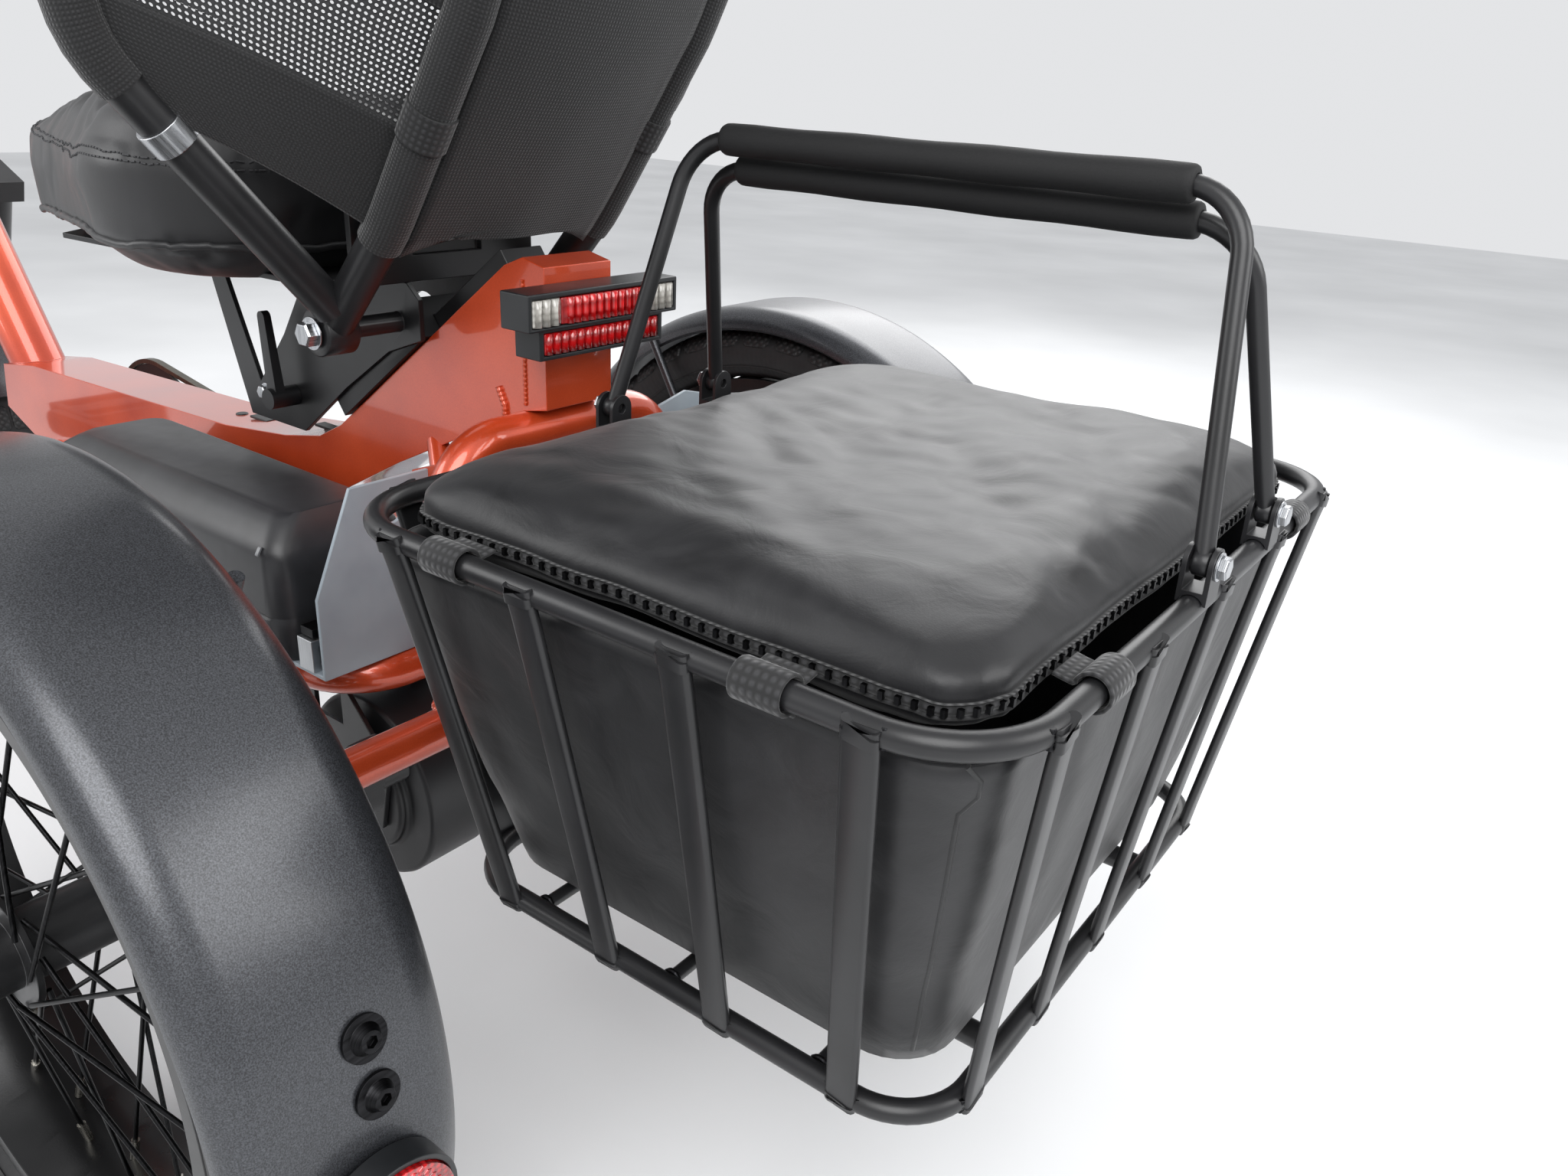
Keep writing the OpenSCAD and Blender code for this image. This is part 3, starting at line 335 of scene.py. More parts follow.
# Closed-cell foam sleeve: matt, with tiny open pores painted darker than the skin around them, as painted shade
def foamSleeve(name="foam sleeve", dark="#0D0D0E", light="#1A1A1B"):
    made, tree, shader = startMaterial(name, IOR=1.45)
    place = objectPlace(tree)
    pores = speckle(tree, place, 0.8, 4)
    # painted shade: the pores are darker than the skin around them
    tint(tree, shader, pores, dark, light)
    roughen(tree, shader, pores, 0.62, 0.8)
    bumpUp(tree, shader, [(pores, 0.5, 0.15), (speckle(tree, place, 14), 0.15, 0.6)])
    return made


lacquer = frameLacquer()
plateEnamel = powderCoat("grey plate enamel", "#8C969E", "#A3ADB4", 0.34, 1.4)
blackCoat = powderCoat("black powder coat", "#141415", "#202022", 0.36)
castBlack = powderCoat("black cast aluminium", "#141416", "#1F1F21", 0.42, 1.6)
fenderCoat = fenderLacquer()
lampAbs = mouldedAbs("lamp housing plastic", "#17181A", "#232527", 0.36, 0.6, 0.15)
batteryAbs = mouldedAbs("battery case plastic", "#1E1E20", "#2C2C2F", 0.40)
batteryBand = mouldedAbs("battery band plastic", "#5B5D60", "#77797C", 0.32, 0.6, 0.15)
redLens = prismLens("red prism lens", "#7A0608", "#E2262A", 3.6)
lampRed = prismLens("red lamp lens", "#8E0709", "#D5181C", 7.0)
clearLens = prismLens("clear prism lens", "#B9B5AD", "#F5F2EA", 4.2, 0.35)
tyreBody = tyreRubber()
tyreKnurl = knurledRubber()
rimBlack = powderCoat("black anodised rim", "#0D0D0E", "#19191A", 0.28, 1.0, 0.4)
spokeBlack = brushedMetal("black steel spoke", "#161617", "#2A2A2B", 0.32)
nickel = brushedMetal("nickel plated brass", "#A9A59B", "#D8D4CA", 0.22)
steelBright = brushedMetal("bright steel", "#9A9C9F", "#C9CBCE", 0.26)
alloyBare = brushedMetal("bare aluminium", "#A7A9AC", "#D2D4D6", 0.34)
boltBlack = brushedMetal("blackened screw steel", "#1B1B1C", "#303032", 0.38)
chainSteel = brushedMetal("oiled chain steel", "#4A4741", "#7B766B", 0.36)
bagCloth = coatedCloth()
linerCloth = coatedCloth("bag liner cloth", "#0D0D0E", "#191A1B")
seatVinyl = grainedVinyl()
backMesh = knittedMesh()
webbing = wovenWebbing()
fineWeave = wovenWebbing("back panel cloth", "#0C0C0D", "#1D1D1F", 1.2)
foam = foamSleeve()
gripRubber = foamSleeve("grip rubber", "#0E0E0F", "#19191A")
thread = foamSleeve("sewing thread", "#2E2E30", "#4A4A4C")
print("materials made")


# Shapes
def unitOf(v):
    return v.normalized()


# A path with each inner corner rounded
def rounded(points, radius, closed=False, steps=8):
    points = [Vector(p) for p in points]
    count = len(points)
    out = [] if closed else [points[0]]
    for i in range(count) if closed else range(1, count - 1):
        a, b, c = points[i - 1], points[i], points[(i + 1) % count]
        u, v = unitOf(a - b), unitOf(c - b)
        half = u.angle(v) / 2
        if half > math.radians(89):
            out.append(b)
            continue
        reach = min(radius / math.tan(half), 0.48 * min((a - b).length, (c - b).length))
        r = reach * math.tan(half)
        centre = b + unitOf(u + v) * r / math.sin(half)
        e1, e2 = (b + u * reach - centre) / r, (b + v * reach - centre) / r
        turn = math.pi - 2 * half
        for k in range(steps + 1):
            t = k / steps
            out.append(centre + r * (math.sin(turn * (1 - t)) * e1 + math.sin(turn * t) * e2) / math.sin(turn))
    if not closed:
        out.append(points[-1])
    return out


# Smooth curve through the points
def flowing(points, steps=6):
    points = [Vector(p) for p in points]
    padded = [2 * points[0] - points[1]] + points + [2 * points[-1] - points[-2]]
    out = []
    for i in range(len(points) - 1):
        p0, p1, p2, p3 = padded[i:i + 4]
        for k in range(steps):
            t = k / steps
            out.append(0.5 * ((2 * p1) + (p2 - p0) * t + (2 * p0 - 5 * p1 + 4 * p2 - p3) * t * t
                              + (3 * p1 - p0 - 3 * p2 + p3) * t ** 3))
    return out + [points[-1]]


def alongFrames(path, closed, up=None):
    count = len(path)
    tangents = []
    for i in range(count):
        a = path[(i - 1) % count] if closed or i else path[0]
        b = path[(i + 1) % count] if closed or i < count - 1 else path[-1]
        tangents.append(unitOf(b - a))
    side = (Vector(up) if up else Vector((0, 0, 1) if abs(tangents[0].z) < 0.9 else (1, 0, 0)))
    sides = []
    for t in tangents:
        if up:
            side = Vector(up)
        side = unitOf(side - t * side.dot(t))
        sides.append(side)
    return tangents, sides


# Closed path cut into steps no longer than the pitch
def finely(path, pitch):
    out = []
    for a, b in zip(path, path[1:] + path[:1]):
        steps = max(1, int((b - a).length / pitch))
        out += [a.lerp(b, k / steps) for k in range(steps)]
    return out


# Length travelled at each point of a path
def travelled(path):
    spans = [0.0]
    for a, b in zip(path[:-1], path[1:]):
        spans.append(spans[-1] + (b - a).length)
    return spans


# A point on the unit circle, k steps of count round
def roundAt(k, count, start=0.0):
    a = start + 2 * math.pi * k / count
    return math.cos(a), math.sin(a)


# Adds a section swept along a path; section is a list of (across, out) in mm, or a radius
def sweep(bm, path, section, closed=False, up=None, sides=20, caps=True, grow=None):
    path = [Vector(p) for p in path]
    if not hasattr(section, "__len__"):
        section = [(section * c, section * s) for c, s in (roundAt(k, sides) for k in range(sides))]
    tangents, ups = alongFrames(path, closed, up)
    uv = bm.loops.layers.uv.verify()
    rings, gone = [], travelled(path)
    for i, (p, t, s) in enumerate(zip(path, tangents, ups)):
        across = t.cross(s)
        size = grow(i / max(1, len(path) - 1)) if grow else 1
        rings.append([bm.verts.new(p + (across * a + s * b) * size) for a, b in section])
    n = len(section)
    girth = [0.0]
    for k in range(n):
        a, b = section[k], section[(k + 1) % n]
        girth.append(girth[-1] + math.hypot(b[0] - a[0], b[1] - a[1]))
    last = len(path) if closed else len(path) - 1
    for i in range(last):
        j = (i + 1) % len(path)
        u0 = gone[i]
        u1 = gone[j] if j else u0 + (path[0] - path[i]).length
        for k in range(n):
            q = (k + 1) % n
            face = bm.faces.new((rings[i][k], rings[j][k], rings[j][q], rings[i][q]))
            for loop, (u, v) in zip(face.loops, ((u0, girth[k]), (u1, girth[k]), (u1, girth[k + 1]),
                                                 (u0, girth[k + 1]))):
                loop[uv].uv = (u * mm, v * mm)
    if caps and not closed:
        bm.faces.new(list(reversed(rings[0])))
        bm.faces.new(rings[-1])
    return rings


# Adds a profile of (radius, along) turned about an axis through centre
def turned(bm, profile, centre, axis="Y", steps=96, start=0, end=360, closed=True):
    around = end - start
    whole = around >= 360
    count = steps if whole else steps + 1
    uv = bm.loops.layers.uv.verify()
    rings = []
    for i in range(count):
        a = math.radians(start + around * i / steps)
        c, s = math.cos(a), math.sin(a)
        ring = []
        for r, h in profile:
            spot = {"Y": (r * c, h, r * s), "X": (h, r * c, r * s), "Z": (r * c, r * s, h)}[axis]
            ring.append(bm.verts.new(Vector(centre) + Vector(spot)))
        rings.append(ring)
    n = len(profile)
    lengths = [0.0]
    for k in range(n):
        a, b = profile[k], profile[(k + 1) % n]
        lengths.append(lengths[-1] + math.hypot(b[0] - a[0], b[1] - a[1]))
    big = max(r for r, h in profile)
    for i in range(steps):
        j = (i + 1) % count
        for k in range(n if closed else n - 1):
            q = (k + 1) % n
            corners = [rings[i][k], rings[j][k], rings[j][q], rings[i][q]]
            spots = [(i, k), (i + 1, k), (i + 1, k + 1), (i, k + 1)]
            if profile[k][0] < 1e-6 and profile[q][0] < 1e-6:
                continue
            face = bm.faces.new(corners)
            for loop, (p, w) in zip(face.loops, spots):
                loop[uv].uv = (math.radians(around) * big * p / steps * mm, lengths[w] * mm)
    if closed and not whole:
        bm.faces.new(rings[0])
        bm.faces.new(list(reversed(rings[-1])))
    return rings


# Adds a box from its low and high corners
def block(bm, low, high):
    low, high = Vector(low), Vector(high)
    size, centre = high - low, (low + high) / 2
    for v in bmesh.ops.create_cube(bm, size=1)["verts"]:
        v.co = Vector((v.co.x * size.x, v.co.y * size.y, v.co.z * size.z)) + centre


# A ring of points of a rounded rectangle, at one height
def ringOf(l, w, r, x, z, steps=8):
    out = []
    for cx, cy, a0 in ((x + l / 2 - r, w / 2 - r, 0), (x - l / 2 + r, w / 2 - r, 90),
                       (x - l / 2 + r, -w / 2 + r, 180), (x + l / 2 - r, -w / 2 + r, 270)):
        for k in range(steps + 1):
            a = math.radians(a0 + 90 * k / steps)
            out.append(Vector((cx + r * math.cos(a), cy + r * math.sin(a), z)))
    return out


# Adds faces between rings of equal length
def loft(bm, rings, closed=True, capLow=False, capHigh=False):
    uv = bm.loops.layers.uv.verify()
    made = [[bm.verts.new(p) for p in ring] for ring in rings]
    count = len(rings[0])
    high = 0.0
    for i in range(len(rings) - 1):
        rise = (Vector(rings[i + 1][0]) - Vector(rings[i][0])).length
        along = 0.0
        for k in range(count if closed else count - 1):
            q = (k + 1) % count
            width = (Vector(rings[i][q]) - Vector(rings[i][k])).length
            face = bm.faces.new((made[i][k], made[i][q], made[i + 1][q], made[i + 1][k]))
            for loop, spot in zip(face.loops, ((along, high), (along + width, high),
                                               (along + width, high + rise), (along, high + rise))):
                loop[uv].uv = (spot[0] * mm, spot[1] * mm)
            along += width
        high += rise
    if capLow:
        bm.faces.new(list(reversed(made[0])))
    if capHigh:
        bm.faces.new(made[-1])
    return made


# Makes the object: millimetres from the axle become metres in the frame
def piece(name, bm, material, body, replaces=(), bevel=0, smooth=35, thick=0):
    bmesh.ops.recalc_face_normals(bm, faces=bm.faces)
    mesh = bpy.data.meshes.new(name)
    for v in bm.verts:
        v.co = axle + v.co * mm
    bm.to_mesh(mesh)
    bm.free()
    made = bpy.data.objects.new(name, mesh)
    bpy.context.scene.collection.objects.link(made)
    mesh.materials.append(material)
    mesh.shade_smooth()
    mesh.set_sharp_from_angle(angle=math.radians(smooth))
    if thick:
        wall = made.modifiers.new("wall", "SOLIDIFY")
        wall.thickness, wall.offset = thick * mm, 0
    if bevel:
        edge = made.modifiers.new("edges", "BEVEL")
        edge.width, edge.segments, edge.limit_method = bevel * mm, 2, "ANGLE"
        edge.angle_limit = math.radians(40)
        edge.harden_normals = True
    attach(made, body)
    if replaces:
        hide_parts(*replaces)
    return made


# Gives a CAD node its material; where its edges want rounding, a bevelled skin stands in for it
def dress(node, material, bevel=0, smooth=35):
    if not bevel:
        nodes[node].data.materials.clear()
        nodes[node].data.materials.append(material)
        return
    bm = bmesh.new()
    bm.from_mesh(nodes[node].data)
    for v in bm.verts:
        v.co = (v.co - axle) / mm
    bmesh.ops.remove_doubles(bm, verts=bm.verts, dist=0.002)
    bmesh.ops.dissolve_limit(bm, angle_limit=math.radians(0.6), verts=bm.verts, edges=bm.edges)
    made = piece(node + "_skin", bm, material, bodyOf[node], (node,), bevel, smooth)
    made.modifiers["edges"].use_clamp_overlap = True


# A flat bar's section with rounded edges
def flatSection(width, thick, steps=4):
    out = []
    for cx, a0 in ((width / 2 - thick / 2, -90), (-width / 2 + thick / 2, 90)):
        for k in range(steps + 1):
            a = math.radians(a0 + 180 * k / steps)
            out.append((cx + thick / 2 * math.cos(a), thick / 2 * math.sin(a)))
    return out


# A weld bead: overlapping round ripples along a seam
def bead(bm, path, radius, ripple=3.2):
    path = [Vector(p) for p in path]
    fine = []
    for a, b in zip(path[:-1], path[1:]):
        steps = max(2, int((b - a).length / (ripple / 4)))
        fine += [a.lerp(b, k / steps) for k in range(steps)]
    fine.append(path[-1])
    spot = 0.0
    sizes = []
    for i, p in enumerate(fine):
        spot += (p - fine[i - 1]).length if i else 0
        sizes.append(0.82 + 0.3 * abs(math.sin(math.pi * spot / ripple)))
    count = len(fine) - 1
    sweep(bm, fine, radius, sides=10, grow=lambda t: sizes[round(t * count)])


def hexHead(bm, centre, axis, across, high, washer=0):
    axis = unitOf(Vector(axis))
    turn = axis.to_track_quat("Z", "Y").to_matrix()
    centre = Vector(centre)
    if washer:
        profile = [(0, 0), (washer, 0), (washer, 1.2), (0, 1.2)]
        disc = bmesh.new()
        turned(disc, profile, (0, 0, 0), "Z", 28, closed=False)
        addTurned(bm, disc, turn, centre)
        centre = centre + axis * 1.2
    head = bmesh.new()
    r = across / 2 / math.cos(math.pi / 6)
    rings = []
    for size, h in ((1, 0), (1, high * 0.8), (0.86, high)):
        rings.append([Vector((r * size * math.cos(math.pi / 3 * k), r * size * math.sin(math.pi / 3 * k), h))
                      for k in range(6)])
    loft(head, rings, capLow=True, capHigh=True)
    addTurned(bm, head, turn, centre)


def addTurned(bm, other, turn, centre):
    spots = {}
    for v in other.verts:
        spots[v] = bm.verts.new(turn @ v.co + centre)
    source, target = other.loops.layers.uv.verify(), bm.loops.layers.uv.verify()
    for f in other.faces:
        made = bm.faces.new([spots[v] for v in f.verts])
        for a, b in zip(f.loops, made.loops):
            b[target].uv = a[source].uv
    other.free()


# Floor and lights; each light is its place, width and watts
studio = {"floorSize": 16000, "backdrop": "#E9EAEC", "world": 0.95,
          "lamps": [((-1500, 1900, 2300), 2600, 88), ((700, -2300, 1900), 2400, 46),
                    ((-2600, -900, 1500), 1800, 34), ((1800, 1700, 1300), 1500, 22)]}


def studioRoom(c):
    floorMat, tree, shader = startMaterial("matt studio floor", Roughness=0.8, IOR=1.4)
    place = objectPlace(tree)
    tint(tree, shader, speckle(tree, place, 700), "#D4D5D6", "#E2E3E4")
    bumpUp(tree, shader, [(speckle(tree, place, 4, 4), 0.06, 0.2)])
    bm = bmesh.new()
    bmesh.ops.create_grid(bm, x_segments=24, y_segments=24, size=c["floorSize"] / 2 * mm)
    mesh = bpy.data.meshes.new("studio_floor")
    bm.to_mesh(mesh)
    bm.free()
    floor = bpy.data.objects.new("studio_floor", mesh)
    floor.location = (0, 0, -0.0004)
    mesh.materials.append(floorMat)
    bpy.context.scene.collection.objects.link(floor)
    world = bpy.data.worlds.new("studio air")
    world.use_nodes = True
    air = world.node_tree.nodes["Background"]
    air.inputs["Color"].default_value = srgb(c["backdrop"])
    air.inputs["Strength"].default_value = c["world"]
    bpy.context.scene.world = world
    for i, (spot, size, power) in enumerate(c["lamps"]):
        data = bpy.data.lights.new("softbox_%d" % i, "AREA")
        data.shape, data.size, data.energy = "DISK", size * mm, power
        lamp = bpy.data.objects.new("softbox_%d" % i, data)
        where = axle + Vector(spot) * mm
        lamp.matrix_world = Matrix.Translation(where) @ (where - axle - Vector((-0.2, 0, 0.1))).to_track_quat(
            "Z", "Y").to_matrix().to_4x4()
        bpy.context.scene.collection.objects.link(lamp)
    bpy.context.scene.view_settings.view_transform = "Standard"


placeCamera(camera)
studioRoom(studio)
print("camera, floor and lights placed")


# Wheels
tyre = {"skin": [(210, 33), (214, 38), (222, 44.5), (232, 47.6), (241, 46.4), (248, 41.5), (252, 34), (254.2, 22),
                 (255.2, 0)],
        "blocks": 42, "blockWide": 30, "lift": 2.1, "shoulder": (0.40, 0.67), "crown": (0.72, 0.98)}


# Point on the tyre: t runs from one bead (0) over the crown (1) to the other bead (2)
def tyreCurve(c):
    half = flowing([(y, r, 0) for r, y in c["skin"]], 5)
    full = half + [Vector((-p.x, p.y, 0)) for p in reversed(half[:-1])]
    spans = travelled(full)

    def at(t, out=0):
        want = max(0, min(1, t / 2)) * spans[-1]
        i = next(k for k in range(len(spans) - 1) if spans[k + 1] >= want - 1e-6)
        f = (want - spans[i]) / (spans[i + 1] - spans[i])
        p = full[i].lerp(full[i + 1], f)
        along = unitOf(full[i + 1] - full[i])
        return p.y + out * -along.x, p.x + out * along.y
    return full, spans[-1], at


def makeTyre(name, body, cx, cy, c):
    full, girth, at = tyreCurve(c)
    bm = bmesh.new()
    profile = [(p.y, p.x) for p in full] + [(212, -29), (212, 29)]
    turned(bm, profile, (cx, cy, 0), "Y", 144)
    for side in (-1, 1):  # thin rib beside the bead
        turned(bm, [(221 + 0.9 * c, side * 44.4 + 0.9 * s) for c, s in (roundAt(k, 6) for k in range(6))],
               (cx, cy, 0), "Y", 144)
    piece(name, bm, tyreBody, body, (name[7:],), smooth=50)
    bm = bmesh.new()
    uv = bm.loops.layers.uv.verify()
    for row, (t0, t1) in enumerate((c["shoulder"], c["crown"], (2 - c["crown"][1], 2 - c["crown"][0]),
                                    (2 - c["shoulder"][1], 2 - c["shoulder"][0]))):
        tall = (t1 - t0) / 2 * girth
        for k in range(c["blocks"]):
            mid = 2 * math.pi * (k + (0.5 if row in (1, 2) else 0)) / c["blocks"]
            wide = c["blockWide"] if row in (0, 3) else c["blockWide"] - 3
            outline = ringOf(wide, tall, 6 if row in (0, 3) else 4, 0, 0, 3)
            rings = []
            for scale, out in ((1.04, -0.6), (1.0, c["lift"] * 0.7), (0.93, c["lift"]), (0.45, c["lift"] + 0.15),
                               (0.02, c["lift"] + 0.2)):
                ring = []
                for p in outline:
                    a = mid + p.x * scale / 250
                    r, y = at((t0 + t1) / 2 + p.y * scale / girth * 2, out)
                    ring.append((bm.verts.new((cx + r * math.cos(a), cy + y, r * math.sin(a))),
                                 (a * 250, p.y * scale)))
                rings.append(ring)
            for low, high in zip(rings[:-1], rings[1:]):
                for i in range(len(outline)):
                    j = (i + 1) % len(outline)
                    corners = (low[i], low[j], high[j], high[i])
                    face = bm.faces.new([q[0] for q in corners])
                    for loop, q in zip(face.loops, corners):
                        loop[uv].uv = (q[1][0] * mm, q[1][1] * mm)
    piece("tread_" + name[7:], bm, tyreKnurl, body, smooth=50)


# Ends of the spokes, from the CAD solids: where each meets the rim, and its direction
def spokeEnds(node, centre):
    mesh = nodes[node].data
    bm = bmesh.new()
    bm.from_mesh(mesh)
    seen, ends = set(), []
    for v in bm.verts:
        if v in seen:
            continue
        island, stack = [], [v]
        seen.add(v)
        while stack:
            q = stack.pop()
            island.append(q.co.copy())
            for e in q.link_edges:
                o = e.other_vert(q)
                if o not in seen:
                    seen.add(o)
                    stack.append(o)
        reach = [(Vector((p.x - centre.x, 0, p.z - centre.z)).length, p) for p in island]
        far, near = max(r for r, p in reach), min(r for r, p in reach)
        outer = [p for r, p in reach if r > far - 0.006]
        inner = [p for r, p in reach if r < near + 0.006]
        a = sum(outer, Vector()) / len(outer)
        b = sum(inner, Vector()) / len(inner)
        ends.append(((a - axle) / mm, unitOf(a - b)))
    bm.free()
    return ends


def makeNipples(side, body, centre):
    bm = bmesh.new()
    for spot, way in spokeEnds("spokes_" + side, centre):
        sweep(bm, [spot - way * 15, spot - way * 13, spot - way * 1.5, spot + way * 0.5], 2.7, sides=8)
    piece("nipples_" + side, bm, nickel, body, smooth=60)


wheels = [("left", "wheel_left", 0, halfTrack), ("right", "wheel_right", 0, -halfTrack),
          ("front", "wheel_front", frontAxle, 0)]
for side, body, cx, cy in wheels:
    makeTyre("rubber_tyre_" + side, body, cx, cy, tyre)
    makeNipples(side, body, axle + Vector((cx, cy, 0)) * mm)
    dress("rim_" + side, rimBlack, 0.6)
    dress("spokes_" + side, spokeBlack)
    dress("hub_" + side, blackCoat, 0.5)
print("wheels made")


# Rear fenders
fender = {"outer": 275, "half": 57, "wall": 3, "drop": 18, "round": 22, "from": 24, "to": 202,
          "stays": (60, 118), "stayRadius": 4, "reflector": 184, "prism": 5.2, "prismRound": 31.2}


def makeFender(side, cy, c):
    bm = bmesh.new()
    outer, inner = [], []
    r0, h = c["outer"], c["half"]
    for s in (1, -1):
        arc = []
        for k in range(9):
            a = math.radians(90 * k / 8)
            arc.append((r0 - c["drop"] + c["drop"] * math.sin(a), s * (h - c["round"] + c["round"] * math.cos(a))))
        outer += arc if s == 1 else list(reversed(arc))
    for r, y in outer:
        lean = abs(y) > h - c["round"]
        inner.append((r - c["wall"] * (0.75 if lean else 1), y * (1 - c["wall"] / h * (0.9 if lean else 0))))
    profile = outer + list(reversed(inner))
    turned(bm, profile, (0, cy, 0), "Y", 120, c["from"], c["to"])
    for a in c["stays"]:
        a = math.radians(a)
        y = cy - (h + 1) * (1 if cy > 0 else -1)
        sweep(bm, [(16 * math.cos(a), y, 16 * math.sin(a)),
                   ((r0 - 12) * math.cos(a), y, (r0 - 12) * math.sin(a))], c["stayRadius"], sides=14)
    piece("fender_shell_" + side, bm, fenderCoat, "frame", ("fender_" + side,), smooth=40)


# Red prism cells on the reflector: small six-sided domes inside the cup's rim, in three bands
def makeReflector(side, cy, c):
    a = math.radians(c["reflector"])
    out = Vector((math.cos(a), 0, math.sin(a)))
    across = Vector((0, 1, 0))
    up = out.cross(across)
    centre = Vector((0, cy, 0)) + out * (c["outer"] + 15.6)
    bm = bmesh.new()
    cell = c["prism"]
    for i in range(-8, 9):
        for j in range(-8, 9):
            u, v = cell * (i + 0.5 * (j % 2)), cell * 0.866 * j
            if math.hypot(u, v) > c["prismRound"] or abs(abs(u) - 11.5) < 0.9:
                continue
            rings = [[centre + across * (u + r * math.cos(math.pi / 3 * k + 0.52))
                      + up * (v + r * math.sin(math.pi / 3 * k + 0.52)) + out * h for k in range(6)]
                     for r, h in ((2.75, 0.0), (2.3, 0.75), (0.2, 1.5))]
            loft(bm, rings, capHigh=True)
    piece("reflector_prisms_" + side, bm, redLens, "frame", smooth=20)


for side, cy in (("left", halfTrack), ("right", -halfTrack)):
    makeFender(side, cy, fender)
    makeReflector(side, cy, fender)
dress("fender_bolts", boltBlack, 0.4)
dress("reflector_cups", lampAbs, 0.8)
dress("side_reflectors", redLens, 0.6)
print("fenders made")


# Frame
frameTubes = {"tube": 14, "hoopX": -42, "hoopZ": 236, "crossZ": 44, "hoopHalf": 100, "bearingOut": 282.7,
              "cradleX": 38, "cradleY": 130, "cradleZ": 52, "cradleFront": 420, "beamHalf": 30, "bend": 52}


def makeRearFrame(c):
    y, x = c["hoopHalf"], c["hoopX"]
    bm = bmesh.new()
    sweep(bm, rounded([(x, y, c["crossZ"]), (x, y, c["hoopZ"]), (x, -y, c["hoopZ"]), (x, -y, c["crossZ"])], 44,
                      steps=12), c["tube"], up=(1, 0, 0), sides=28)
    sweep(bm, [(x, -c["bearingOut"], c["crossZ"]), (x, c["bearingOut"], c["crossZ"])], c["tube"], sides=28)
    for s in (-1, 1):
        sweep(bm, [(x, s * 62, c["crossZ"]), (c["cradleX"] - 14, s * 62, c["cradleZ"])], 9)
        sweep(bm, [(x, s * 62, c["crossZ"]), (x - 2, s * 22, c["hoopZ"] - 4)], 8)
        sweep(bm, [(x, s * (y - 6), c["crossZ"] + 70), (60, s * 24, 206)], 8)
        bead(bm, loopRound((x, s * y, c["crossZ"] + 13), (0, 0, 1), 15), 2.4)
        bead(bm, loopRound((x + 14, s * 62, c["crossZ"] + 1), (1, 0, 0), 9.5), 2.0)
        bead(bm, loopRound((c["cradleX"] - 16, s * 62, c["cradleZ"]), (1, 0, 0), 9.5), 2.0)
        bead(bm, loopRound((x + 10, s * (y - 8), c["crossZ"] + 73), (102, -s * 70, 92), 8.8), 2.0)
        bead(bm, loopRound((x - 2, s * 26, c["hoopZ"] - 14), (-1, -s * 20, 100), 8.8), 2.0)
    piece("rear_hoop", bm, lacquer, "frame", ("rear_frame",), smooth=50)


def loopRound(centre, axis, radius, count=24):
    turn = unitOf(Vector(axis)).to_track_quat("Z", "Y").to_matrix()
    return [Vector(centre) + turn @ Vector((radius * math.cos(2 * math.pi * k / count),
                                            radius * math.sin(2 * math.pi * k / count), 0))
            for k in range(count + 1)]


def makeCradle(c):
    bm = bmesh.new()
    z, y, front = c["cradleZ"], c["cradleY"], c["cradleFront"]
    left = rounded([(front + 74, 24, z + 34), (front + 44, 50, z), (front, y, z), (c["cradleX"], y, z),
                    (c["cradleX"], -56, z)], c["bend"], steps=12)
    right = rounded([(front + 74, -24, z + 34), (front + 44, -50, z), (front, -y, z),
                     (c["hoopX"] + c["tube"] + 0.3, -y, z)], c["bend"], steps=12)
    sweep(bm, left, c["tube"], sides=28)
    sweep(bm, right, c["tube"], sides=28)
    bead(bm, loopRound((c["cradleX"], 60, z), (0, 1, 0), 15.5), 2.0)
    for x in (150, 290):
        for s in (-1, 1):
            bead(bm, [(x - 14, s * y - 11, z + 10.5), (x + 14, s * y - 11, z + 10.5)], 2.2)
    piece("cradle_loop", bm, lacquer, "frame", ("battery_cradle",), smooth=50)


def makeBeamTrim(c):
    h = c["beamHalf"]
    bm = bmesh.new()
    for s in (-1, 1):
        bead(bm, flowing([(108, s * (h - 6), 236.5), (60, s * (h - 8), 274), (9, s * (h - 6), 313)], 3), 1.8)
        bead(bm, [(-22, s * (h + 0.6), 224), (-22, s * (h + 0.6), 250), (-16, s * (h + 0.6), 262)], 2.2)
        bead(bm, [(-42, s * h, 254), (-42, s * h, 336)], 1.6)
    bead(bm, [(108, -h + 6, 236.5), (108, h - 6, 236.5)], 1.8)
    piece("beam_welds", bm, lacquer, "frame", smooth=60)
    bm = bmesh.new()
    for x, z in ((232, 176.6), (330, 164.0)):  # slots where the cables leave the beam
        block(bm, (x - 13, -5, z - 1), (x + 13, 5, z + 1.2))
        turned(bm, [(0, 0), (5.5, 0), (5, 1.2), (0, 1.2)], (x + 34, 0, z - 3), "Z", 20, closed=False)
    piece("cable_ports", bm, blackCoat, "frame", bevel=0.6)


makeRearFrame(frameTubes)
makeCradle(frameTubes)
makeBeamTrim(frameTubes)
